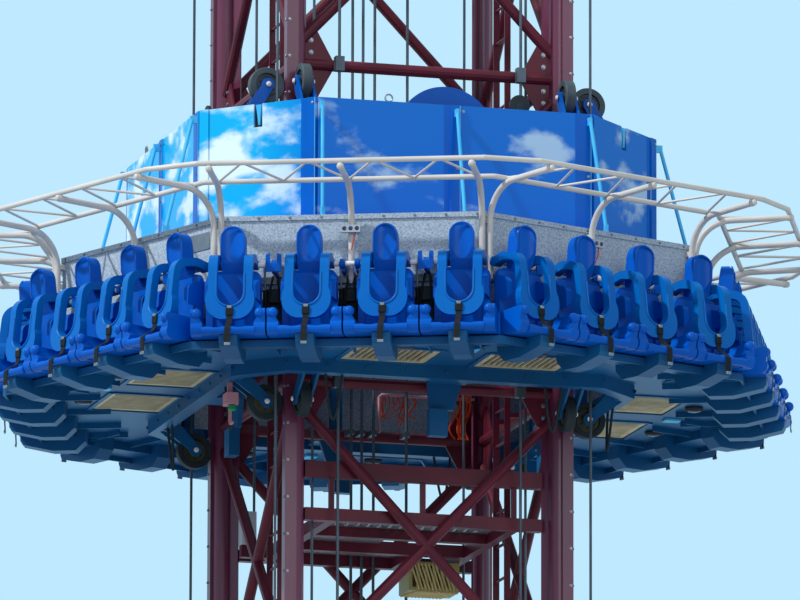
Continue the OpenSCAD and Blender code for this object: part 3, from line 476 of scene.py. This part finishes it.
def restraint_details(k, name):
    """Lips, upper belts with their buckles, and shaft sleeves of one row of restraints."""
    body = "restraints_" + name
    lips, belts, buckles, tongues, sleeves = pieces(5)
    belt_top, belt_w, off_bib = OPENING_Z - OPENING_R + 0.004, 0.048, 0.004
    belt = [(bib_front(z) + off_bib, z) for z in (belt_top, -0.87, BELT_SPLIT_Z)]
    face = -bib_front(-0.865)
    for i in range(SEATS):
        place = side(k, seat_x(i))
        lips.add(opening_lip(), place)
        belts.add(across(strip(belt, BELT_T), belt_w), place)
        buckles.add(block((-0.030, face - 0.018, -0.905), (0.030, face - 0.004, -0.845), 0.004), place)
        tongues.add(block((-0.018, face - 0.020, -0.850), (0.018, face - 0.005, -0.828), 0.003), place)
    for start, end in sleeve_spans():
        sleeves.add(tube([(start, -SHAFT_A, SHAFT_Z), (end, -SHAFT_A, SHAFT_Z)], 0.0215, 16), side(k))
    lips.make(body + "_lips", body, PAD_BLUE, "restraint_pad")
    belts.make(body + "_belt_tops", body, BLACK, "restraint_pad")
    buckles.make(body + "_buckles", body, BLACK, "steel", 0.003)
    tongues.make(body + "_buckle_tongues", body, STEEL, "steel", 0.002)
    sleeves.make(body + "_shaft_sleeves", body, WHITE, "pale_tube")


def sleeve_spans():
    """Stretches of the shaft between hubs and bearings."""
    hub, bearing, shortest = 0.039, 0.024, 0.03
    stops = []
    for i in range(SEATS):
        stops += [(seat_x(i) + s * STRAP_OFF, hub) for s in BOTH]
    stops += [(x, bearing) for x in (-SEAT_PITCH, -SEAT_PITCH / 10, SEAT_PITCH / 10, SEAT_PITCH)]
    stops.sort()
    spans = []
    for (x0, w0), (x1, w1) in zip(stops, stops[1:]):
        if x1 - w1 - x0 - w0 > shortest:
            spans.append((x0 + w0, x1 - w1))
    return spans


# Seats

def head_front(z):
    """Distance of the headrest's front edge from the axis at a height."""
    line = [(HEAD_TOP, HEAD_A - 0.015), (-0.200, HEAD_A), (-0.330, HEAD_A), (-0.440, HEAD_A - 0.035),
            (-0.520, BACK_A)]
    for (z0, a0), (z1, a1) in zip(line, line[1:]):
        if z >= z1:
            return a0 + (a1 - a0) * (z - z0) / (z1 - z0)
    return BACK_A


def head_lip():
    """Rounded lip along the edge of a headrest."""
    r = HEAD_HALF - 0.006
    top, low, bend = HEAD_TOP - HEAD_HALF, -0.46, -0.35
    arc = [math.pi * t for t in steps(16)]
    path = [(-r, low), (-r, bend)]
    path += [(-r * math.cos(t), top + r * math.sin(t)) for t in arc]
    path += [(r, bend), (r, low)]
    return tube([(x, -head_front(z) - 0.001, z) for x, z in path], 0.008, 8)


def seat_details():
    """Headrest lips, knobs on the side rolls, and the lower belts with their tips."""
    lips, knobs, belts, tips = pieces(4)
    bib_edge = bib_front(BIB_LOW)
    belt_w, tip_half, tip_top, tip_low = 0.046, 0.025, -1.146, -1.168
    belt = [(bib_edge + 0.006, BELT_SPLIT_Z), (bib_edge + 0.025, -0.972),
            (PAN_FRONT - 0.030, SEAT_TOP + 0.010), (PAN_FRONT + 0.006, SEAT_TOP - 0.022),
            (PAN_FRONT + 0.008, PAN_LOW), (PAN_FRONT + 0.004, -1.150)]
    tip = block((-tip_half, -PAN_FRONT - 0.014, tip_low), (tip_half, -PAN_FRONT - 0.002, tip_top), 0.003)
    for k in range(SIDES):
        for i in range(SEATS):
            place = side(k, seat_x(i))
            lips.add(head_lip(), place)
            for s in BOTH:
                knob = facing_out(s * ROLL_OFF, PAN_FRONT - 0.030, SEAT_TOP + 0.103)
                knobs.add(ball(0.041), place @ knob)
            belts.add(across(strip(belt, BELT_T), belt_w), place)
            tips.add(tip, place)
    lips.make("headrest_lips", "gondola", SEAT_BLUE, "seat_shell")
    knobs.make("seat_side_knobs", "gondola", SEAT_BLUE, "seat_shell")
    belts.make("seat_belts", "gondola", BLACK, "seat_shell")
    tips.make("seat_belt_tips", "gondola", STEEL, "steel", 0.002)


def seat_machinery():
    """Gas springs, hose loops, junction boxes and yokes between the seats."""
    springs, rods, hoses, boxes, yokes = pieces(5)
    near, middle, far = -WALL_A - 0.045, -WALL_A - 0.085, -WALL_A - 0.10
    spring_off, spring_top = 0.075, -0.62
    yoke = [(-0.063, -0.14), (0.063, -0.14), (0.063, 0), (0.030, 0.01), (0.022, -0.07),
            (-0.022, -0.07), (-0.030, 0.01), (-0.063, 0)]
    for k in range(SIDES):
        place = side(k)
        for j in range(1, SEATS):
            x = (j - SEATS / 2) * SEAT_PITCH
            for s in BOTH:
                upright = x + s * spring_off
                joint = (upright, far, spring_top)
                springs.add(tube([(upright, -WALL_A - 0.05, -0.88), joint], 0.021), place)
                rods.add(tube([joint, (upright, -SHAFT_A, SHAFT_Z - 0.02)], 0.010), place)
                sag = [(x + s * (0.02 + 0.05 * t), -WALL_A - 0.05 - 0.07 * math.sin(math.pi * t),
                        -0.50 - 0.42 * t) for t in steps(8)]
                hoses.add(tube(sag, 0.009, 8), place)
            boxes.add(block((x - 0.085, near, -0.92), (x + 0.085, -WALL_A, -0.60), 0.006), place)
            boxes.add(block((x - 0.050, middle, -0.72), (x + 0.050, near, -0.62), 0.006), place)
        for x in (-SEAT_PITCH, SEAT_PITCH):
            yokes.add(prism(yoke, 0.012), place @ facing_out(x, SHAFT_A + 0.030, -0.350))
    springs.make("gas_springs", "gondola", BLACK, "steel")
    rods.make("gas_spring_rods", "gondola", STEEL, "steel")
    hoses.make("seat_hoses", "gondola", BLACK, "steel")
    boxes.make("junction_boxes", "gondola", DARK_RUBBER_AND_PAINTED_SHADE, "steel", 0.004)
    yokes.make("shaft_yokes", "gondola", BLUE, "blue_metal", 0.003)


# Back wall and canopy

def wall_details():
    """Plates, cable trays and rim bolts on the back wall, and lenses and wires of its light boxes."""
    plates, studs, lenses, wires, trays = pieces(5)
    half = (WALL_A + RIM_OUT) * math.tan(EIGHTH / 2)
    lens_face = WALL_A + 0.059 + 0.025 + 0.030
    rim_bolts, first_bolt = 9, 0.06
    wire = [(0.035, -WALL_A - 0.10, -0.17), (0.030, -WALL_A - 0.11, -0.22),
            (0.015, -WALL_A - 0.10, -0.26), (0.004, -WALL_A - 0.09, -0.31)]
    for k in range(SIDES):
        place = side(k)
        if ROWS[k] in ("right_rear", "left_front"):
            plates.add(block((0.60, -WALL_A - 0.006, -0.235), (0.91, -WALL_A, -0.095)), place)
        trays.add(block((-half + 0.02, -WALL_A - 0.030, -0.56), (half - 0.02, -WALL_A, -0.50)), place)
        for n in range(rim_bolts):
            x = -half + first_bolt + n * (2 * half - 2 * first_bolt) / (rim_bolts - 1)
            studs.add(bolt(0.009, 0.008), place @ facing_out(x, WALL_A + RIM_OUT, -0.020))
        for x in (-0.05, 0, 0.05):
            lenses.add(dome(0.018, 0.009), place @ facing_out(x, lens_face, -0.140))
        wires.add(tube(wire, 0.005, 6), place)
    plates.make("wall_plates", "gondola", STEEL, "box_grey", 0.002)
    trays.make("cable_trays", "gondola", CABLE, "steel", 0.003)
    studs.make("wall_rim_bolts", "gondola", STEEL, "steel")
    lenses.make("lamp_lenses", "gondola", LENS, "box_grey")
    wires.make("lamp_wires", "gondola", ORANGE, "steel")


def canopy_details():
    """Weld collars and round corners of the chords, rounded arm ends and the feet of the arms."""
    collars, corners, feet = pieces(3)
    arm_a, outer_a, inner_a = WALL_A + 0.059, WALL_A + 0.809, WALL_A + 0.251
    pitch = arm_a * math.tan(EIGHTH / 2) - 0.035
    outer_z, bend, rise, arm_r, chord_r = 0.260, 0.300, 0.014, 0.025, 0.021
    bend_z = outer_z - arm_r - chord_r - rise - bend
    seat = bend + arm_r + chord_r
    inner_z = bend_z + math.sqrt(seat ** 2 - (arm_a + bend - inner_a) ** 2)
    start = Vector((pitch + 0.050, -inner_a, inner_z))
    middle = Vector((inner_a * math.tan(EIGHTH / 2), -inner_a, inner_z))
    finish = Matrix.Rotation(EIGHTH, 4, "Z") @ Vector((-pitch - 0.050, -inner_a, inner_z))
    corner = [start, start.lerp(middle, 0.8), middle.lerp(finish, 0.2), finish]
    for k in range(SIDES):
        for s in (-1, 0, 1):
            place = side(k, s * pitch)
            arm_end = facing_out(0, outer_a + 0.030, outer_z - arm_r - chord_r)
            collars.add(tube([(0, -outer_a + 0.009, 0.214), (0, -outer_a - 0.009, 0.214)], 0.029, 16), place)
            collars.add(dome(arm_r * 0.96, 0.014), place @ arm_end)
            feet.add(tube([(0, -arm_a, -0.575), (0, -arm_a, -0.555)], 0.034, 16), place)
        for s in BOTH:
            joint = Matrix.Translation((s * (pitch + 0.094), -outer_a, outer_z))
            collars.add(ball(chord_r * 1.06), side(k) @ joint)
        corners.add(tube(corner, chord_r * 1.01, 16), side(k))
    collars.make("canopy_collars", "gondola", PALE, "pale_tube")
    corners.make("canopy_chord_corners", "gondola", PALE, "pale_tube")
    feet.make("canopy_arm_feet", "gondola", STEEL, "steel")


# Housing

def housing_details():
    """A plain strip down each panel's right edge, joint lines, bolts, corner slots with a dark block of
    painted shade at their back and a wedge in each, eyes and rope guides.
    """
    strips, joints, studs, slots, wedges, eyes, drums = pieces(7)
    top = WALL_TOP + HOUSING_H
    raised, ridge_w, strip_w, skin, line, inset = 0.012, 0.080, 0.135, 0.002, 0.007, 0.045
    reach = (HOUSING_A + HOUSING_HALF) / math.sqrt(2)
    half = (HOUSING_A - HOUSING_HALF) / math.sqrt(2) - 0.02
    slot_low, wedge_low, edge = top - 0.196, top - 0.172, top - 0.006
    wedge = [(0.002, wedge_low), (0.014, wedge_low), (0.030, edge), (-0.022, edge)]
    drum = [(0.050, 0), (0.085, 0.004), (0.085, 0.030), (0.050, 0.034)]
    drum_x, drum_a = 0.60, HOUSING_A - 0.24

    def upright(piece, place, x0, x1, face, depth):
        piece.add(block((x0, -face - depth, WALL_TOP + 0.003), (x1, -face, top - 0.003)), place)

    def stud(place, x, face, z):
        studs.add(bolt(0.010, 0.007), place @ facing_out(x, face, WALL_TOP + z))

    def panel_edge(place, right, face, ridge):
        """Strip that ends at right: its last stretch lies on the raised ridge where there is one."""
        if ridge:
            upright(strips, place, right - ridge_w, right, face + raised, skin)
            upright(strips, place, right - strip_w, right - ridge_w, face, skin)
        else:
            upright(strips, place, right - strip_w, right, face, skin)
        out = face + (raised if ridge else 0) + skin
        upright(joints, place, right - line, right, out, skin)
        for z in (inset, HOUSING_H / 2, HOUSING_H - inset):
            stud(place, right - 0.025, out, z)

    for turn in TURNS.values():
        place = quarter(turn)
        panel_edge(place, ridge_w / 2, HOUSING_A, True)
        panel_edge(place, HOUSING_HALF - 0.003, HOUSING_A, False)
        for x in (-HOUSING_HALF + 0.025, ridge_w / 2 + 0.025):
            for z in (inset, HOUSING_H - inset):
                stud(place, x, HOUSING_A, z)
        chamfer = quarter(turn + 45)
        panel_edge(chamfer, half, reach, True)
        # A dark block at the back of each corner slot: painted shade of the slot's inside.
        slots.add(block((-0.046, -reach + 0.024, slot_low), (0.046, -reach + 0.040, edge)), chamfer)
        wedges.add(prism(wedge, 0.022), chamfer @ facing_out(0, reach - 0.025, 0))
        hung = Matrix.Translation((-0.55, -HOUSING_A + 0.012, top + 0.028))
        eyes.add(ring(0.030, 0.007), place @ hung @ Matrix.Rotation(math.radians(90), 4, "X"))
        drums.add(lathe(drum, 24), place @ facing_out(drum_x, drum_a, top + 0.085))
        drums.add(block((drum_x - 0.025, -HOUSING_A + 0.19, top - 0.02),
                        (drum_x + 0.025, -drum_a, top + 0.09)), place)
    strips.make("panel_strips", "gondola", PANEL_BLUE, "blue_panel")
    joints.make("panel_joint_lines", "gondola", JOINT_BLUE, "blue_panel")
    studs.make("panel_bolts", "gondola", STEEL, "steel")
    slots.make("corner_slot_shades", "gondola", DARK_RUBBER_AND_PAINTED_SHADE, "blue_metal")
    wedges.make("corner_slot_wedges", "gondola", CYAN_AND_PAINTED_SUNLIGHT, "blue_metal", 0.002)
    eyes.make("lifting_eyes", "gondola", STEEL, "steel")
    drums.make("rope_guides", "gondola", DARK_RUBBER_AND_PAINTED_SHADE, "steel", 0.003)


# Guide wheels

def wheel_details():
    """Coloured discs, axle caps and nuts on both faces of each guide wheel."""
    web, axle_end, nut_circle, nut_count = 0.020, 0.080, 0.058, 6
    disc = [(0.042, 0.018), (0.104, 0.013), (0.104, 0.018), (0.090, 0.022),
            (0.078, 0.022), (0.070, 0.019), (0.042, 0.024)]
    for level, z in WHEEL_LEVELS.items():
        for name, turn in TURNS.items():
            body = f"wheels_{level}_{name}"
            discs, caps, nuts = pieces(3)
            for s in BOTH:
                for out in BOTH:
                    hub = Matrix.Translation((s * LEG, -WHEEL_CENTRE, WALL_TOP + z))
                    place = quarter(turn) @ hub @ Matrix.Rotation(math.radians(90 * out), 4, "Y")
                    discs.add(lathe(disc, 32), place)
                    caps.add(bolt(0.017, 0.012), place @ Matrix.Translation((0, 0, axle_end)))
                    for n in range(nut_count):
                        t = 2 * math.pi * n / nut_count
                        spot = Matrix.Translation((nut_circle * math.cos(t), nut_circle * math.sin(t), web))
                        nuts.add(bolt(0.007, 0.008), place @ spot)
            discs.make(body + "_discs", body, SLATE if level == "upper" else OLIVE, "wheel_tyre")
            caps.make(body + "_caps", body, WHITE, "steel")
            nuts.make(body + "_nuts", body, DARK_RUBBER_AND_PAINTED_SHADE, "steel")


def carriage_details():
    """A buffer bracket and hose loops under the lower ring, and bolts on the ring beams."""
    bracket, buffer, hoses, studs = pieces(4)
    ring_in, ring_out = RAIL_FACE + 0.36, RAIL_FACE + 0.48
    middle = (ring_in + ring_out) / 2
    low, high = WALL_TOP + WHEEL_LEVELS["lower"] + 0.22, WALL_TOP + HOUSING_H - 0.16
    under = low - 0.06
    loop_drop, beam_bolts, bolt_pitch = 0.36, 9, 0.33
    for turn in TURNS.values():
        place = quarter(turn)
        for s in BOTH:
            loop = [(s * (LEG - 0.26 + 0.14 * t), -middle + 0.02 + 0.03 * math.sin(math.pi * t),
                     under + 0.004 - loop_drop * math.sin(math.pi * t)) for t in steps(14)]
            hoses.add(tube(loop, 0.011, 8), place)
        for n in range(beam_bolts):
            for z in (low, high):
                x = (n - (beam_bolts - 1) // 2) * bolt_pitch
                studs.add(bolt(0.013, 0.010), place @ facing_out(x, ring_out, z))
    hung = Matrix.Translation((LEG, -middle, under)) @ Matrix.Diagonal((1, 1, -1, 1))
    foot = quarter(TURNS["left"]) @ hung
    plate_top, arm_low, arm_top = 0.195, 0.330, 0.350
    bracket.add(block((-0.062, -0.020, 0.0), (-0.036, 0.020, 0.100)), foot)
    bracket.add(block((-0.070, -0.055, 0.100), (0.070, 0.045, plate_top), 0.006), foot)
    bracket.add(block((-0.045, -0.012, plate_top), (-0.020, 0.012, arm_top)), foot)
    bracket.add(block((-0.045, -0.012, arm_low), (0.040, 0.012, arm_top)), foot)
    spool = [(0.020, plate_top), (0.034, 0.204), (0.034, 0.236), (0.020, 0.245)]
    buffer.add(lathe(spool, 20), foot @ Matrix.Translation((0.030, 0, 0)))
    # The bracket's rose colour is painted sunlight on maroon paint.
    bracket.make("buffer_bracket", "gondola", ROSE_PAINT_AND_PAINTED_SUNLIGHT, "maroon_paint", 0.002)
    buffer.make("carriage_buffer", "gondola", GREEN, "teal_metal")
    hoses.make("brake_hoses", "gondola", DARK_RUBBER_AND_PAINTED_SHADE, "steel")
    studs.make("ring_beam_bolts", "gondola", TEAL, "steel")


# Underside of the gondola

def underside_details():
    """Ribs, grating frames, lamps and catches under the floor."""
    ribs, frames, lamps, glass, catches = pieces(5)
    floor, rib_a = -1.040, BACK_A - 0.12
    half = rib_a * math.tan(EIGHTH / 2)
    for k in range(SIDES):
        for x in (-half + 0.09, -SEAT_PITCH, 0, SEAT_PITCH, half - 0.09):
            ribs.add(block((x - 0.006, -rib_a, floor - 0.045), (x + 0.006, -BACK_A + 0.52, floor)), side(k))
    frame_x, frame_t, rim, window = 0.37, -0.012, 0.02, 0.56
    inner, lamp_a = 1.700, 2.42
    y0, y1 = -inner - window, -inner
    lamp = lathe([(0.075, 0), (0.075, -0.018), (0.060, -0.034)], 28)
    lens = lathe([(0.055, -0.030), (0.045, -0.040), (0.010, -0.044)], 24)
    for turn in TURNS.values():
        place = quarter(turn) @ Matrix.Translation((0, 0, WALL_TOP + floor))
        for x in (-0.55, 0.55):
            for y in (y0 - rim, y1 + rim):
                frames.add(block((x - frame_x, y - rim, frame_t), (x + frame_x, y + rim, 0)), place)
            for edge in (x - frame_x, x + frame_x):
                frames.add(block((edge - rim, y0, frame_t), (edge + rim, y1, 0)), place)
            spot = place @ Matrix.Translation((x, -lamp_a, 0))
            lamps.add(lamp, spot)
            glass.add(lens, spot)
        catches.add(block((-0.05, -2.47, -0.02), (0.05, -2.33, 0), 0.01), place)
    ribs.make("floor_ribs", "gondola", TEAL, "teal_metal")
    frames.make("grating_frames", "gondola", TEAL, "teal_metal", 0.002)
    lamps.make("under_lamps", "gondola", DARK_RUBBER_AND_PAINTED_SHADE, "teal_metal")
    glass.make("under_lamp_glasses", "gondola", LENS, "teal_metal")
    catches.make("floor_catches", "gondola", CYAN_AND_PAINTED_SUNLIGHT, "teal_metal", 0.003)


# Tower

def tower_details():
    """Bolts of the rails and gusset plates, and the foundation anchors."""
    rails, gussets, anchors = pieces(3)
    step, rail_x, gusset_x = 0.30, RAIL_FACE - 0.022, LEG - 0.125
    levels = [BASE_H + BAY_H * k for k in range(BAYS + 1)]
    for turn in TURNS.values():
        place = quarter(turn)
        for s in BOTH:
            for n in range(int((BAYS * BAY_H) / step)):
                z = BASE_H + 0.2 + n * step
                rails.add(bolt(0.010, 0.010), place @ facing_out(s * rail_x, RAIL_FACE, z))
            for k, z in enumerate(levels):
                for dz in (-0.20, -0.10, 0.10, 0.20):
                    if (k == 0 and dz < 0) or (k == BAYS and dz > 0):
                        continue
                    gussets.add(bolt(0.015, 0.012), place @ facing_out(s * gusset_x, LEG + 0.008, z + dz))
    anchor_off, plate_t = 0.15, 0.04
    washer = lathe([(0.034, 0), (0.034, 0.005)], 20)
    nut = lathe([(0.026, 0.005), (0.026, 0.028), (0.022, 0.032)], 6)
    rod = lathe([(0.0165, 0.032), (0.0165, 0.075), (0.013, 0.079)], 16)
    for sx, sy in CORNERS:
        for qx, qy in CORNERS:
            spot = Matrix.Translation((sx * LEG + qx * anchor_off, sy * LEG + qy * anchor_off, plate_t))
            for shape in (washer, nut, rod):
                anchors.add(shape, spot)
    rails.make("rail_bolts", "tower", STEEL, "steel")
    gussets.make("gusset_bolts", "tower", STEEL, "steel")
    anchors.make("anchor_bolts", "tower", STEEL, "steel")


def tower_services():
    """Hoses and a pipe behind the rear horizontals, and the bars of the basket under the platform."""
    hoses, pipe, bracket, bars = pieces(4)
    rear = LEG - 0.10
    pipe_z, bracket_z, ladder_z = WALL_TOP - 0.77, WALL_TOP - 0.555, WALL_TOP - 1.11
    pipe.add(tube([(0.20, rear, pipe_z - 0.32), (0.20, rear, pipe_z - 0.02), (0.22, rear, pipe_z),
                   (LEG - 0.09, rear, pipe_z)], 0.013))
    bracket.add(block((0.83, rear - 0.02, bracket_z - 0.01),
                      (LEG - 0.095, rear + 0.02, bracket_z + 0.01), 0.004))
    for n in range(7):
        x = 0.24 + 0.04 * n
        swing = random.uniform(-0.10, 0.10)
        drop = random.uniform(0.10, 0.26)
        curl = random.uniform(2.0, 5.0)
        loop = [(x + swing * t + 0.025 * math.sin(curl * math.pi * t),
                 rear + 0.03 * math.sin(math.pi * t),
                 pipe_z - 0.01 - drop * math.sin(math.pi * t)) for t in steps(16)]
        hoses.add(tube(loop, 0.0055, 8))
    for n in range(6):
        x = 0.85 + 0.022 * n
        sway = random.uniform(-0.05, 0.05)
        fall = [(x + sway * math.sin(3 * math.pi * t), rear - 0.03 * math.sin(2 * math.pi * t),
                 bracket_z + (ladder_z - bracket_z) * t) for t in steps(16)]
        hoses.add(tube(fall, 0.008, 8))
    low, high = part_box("equipment_boxes")
    first, slant, deep, skin, bar_r, count = 0.331 + 0.015, 0.07, 0.225, 0.006, 0.007, 12
    for n in range(count):
        x = first + n * (high.x - 0.331 - 0.10) / (count - 1)
        below, front = low.z - skin, low.y - skin
        bars.add(tube([(x, low.y + 0.290, below), (x + slant, low.y + 0.010, below)], bar_r, 6))
        bars.add(tube([(x + slant, front, low.z + 0.010), (x, front, low.z + deep)], bar_r, 6))
    hoses.make("service_hoses", "tower", ORANGE, "steel")
    pipe.make("service_pipe", "tower", ROSE_PAINT_AND_PAINTED_SUNLIGHT, "maroon_paint")
    bracket.make("hose_bracket", "tower", MAROON, "maroon_paint", 0.002)
    bars.make("basket_bars", "tower", CREAM, "box_grey")


# Floor, light and camera

def stage():
    """A pale round floor."""
    mesh = bpy.data.meshes.new("ground_disc")
    points, faces = lathe([(12.0, -0.02), (12.0, 0.0)], 96)
    mesh.from_pydata(points, [], faces)
    material, _, surface = shader("pale_floor", 0.9)
    surface.inputs["Base Color"].default_value = colour("c6ccd1")
    mesh.materials.append(material)
    floor = bpy.data.objects.new("ground_disc", mesh)
    bpy.context.scene.collection.objects.link(floor)


def background():
    """Plain light from all round; a pale blue sky for camera, mirrored and transmitted rays."""
    world = bpy.data.worlds.new("pale_surroundings")
    world.use_nodes = True
    bpy.context.scene.world = world
    tree = world.node_tree
    light = tree.nodes["Background"]
    light.inputs["Color"].default_value = colour("eaf1f8")
    light.inputs["Strength"].default_value = 0.56
    seen = tree.nodes.new("ShaderNodeBackground")
    seen.inputs["Color"].default_value = colour("bfe9ff")
    path = tree.nodes.new("ShaderNodeLightPath")
    direct = path.outputs["Is Camera Ray"]
    for ray in ("Is Glossy Ray", "Is Transmission Ray"):
        either = tree.nodes.new("ShaderNodeMath")
        either.operation = "MAXIMUM"
        tree.links.new(direct, either.inputs[0])
        tree.links.new(path.outputs[ray], either.inputs[1])
        direct = either.outputs["Value"]
    mix = tree.nodes.new("ShaderNodeMixShader")
    tree.links.new(direct, mix.inputs["Fac"])
    tree.links.new(light.outputs["Background"], mix.inputs[1])
    tree.links.new(seen.outputs["Background"], mix.inputs[2])
    tree.links.new(mix.outputs["Shader"], tree.nodes["World Output"].inputs["Surface"])


def sun(name, azimuth, elevation, strength, spread):
    """A distant lamp: azimuth 0 shines from the front, -90 from the left."""
    lamp = bpy.data.lights.new(name, "SUN")
    lamp.energy = strength
    lamp.angle = math.radians(spread)
    thing = bpy.data.objects.new(name, lamp)
    a, e = math.radians(azimuth), math.radians(elevation)
    source = Vector((math.sin(a) * math.cos(e), -math.cos(a) * math.cos(e), math.sin(e)))
    thing.rotation_mode = "QUATERNION"
    thing.rotation_quaternion = source.to_track_quat("Z", "Y")
    bpy.context.scene.collection.objects.link(thing)


def camera():
    """The photograph's viewpoint: far off, a little left of the front, looking up at the gondola."""
    azimuth, distance, below_wall = math.radians(-15.835), 86.356, 17.661
    pitch, yaw, roll = 0.1997, 0.001, 0.0027
    out = Vector((math.sin(azimuth), -math.cos(azimuth), 0))
    right = Vector((math.cos(azimuth), math.sin(azimuth), 0))
    up = Vector((0, 0, 1))
    ahead = -out * math.cos(yaw) + right * math.sin(yaw)
    right = right * math.cos(yaw) + out * math.sin(yaw)
    look = ahead * math.cos(pitch) + up * math.sin(pitch)
    top = up * math.cos(pitch) - ahead * math.sin(pitch)
    x_axis = right * math.cos(roll) + top * math.sin(roll)
    y_axis = top * math.cos(roll) - right * math.sin(roll)
    lens = bpy.data.cameras.new("viewpoint")
    lens.sensor_width = 36.0
    lens.lens = 487.6
    lens.clip_end = 300.0
    thing = bpy.data.objects.new("viewpoint", lens)
    place = Matrix((x_axis, y_axis, -look)).transposed().to_4x4()
    place.translation = out * distance + up * (WALL_TOP - below_wall)
    thing.matrix_world = place
    bpy.context.scene.collection.objects.link(thing)
    bpy.context.scene.camera = thing


camera()
background()
sun("key_sun", -80, 46, 3.0, 2)
sun("fill_sun", 5, 20, 0.6, 30)
stage()
dress_frame()
for row, row_name in enumerate(ROWS):
    restraint_details(row, row_name)
seat_details()
seat_machinery()
wall_details()
canopy_details()
housing_details()
wheel_details()
carriage_details()
underside_details()
tower_details()
tower_services()
bpy.context.scene.view_settings.view_transform = "Standard"
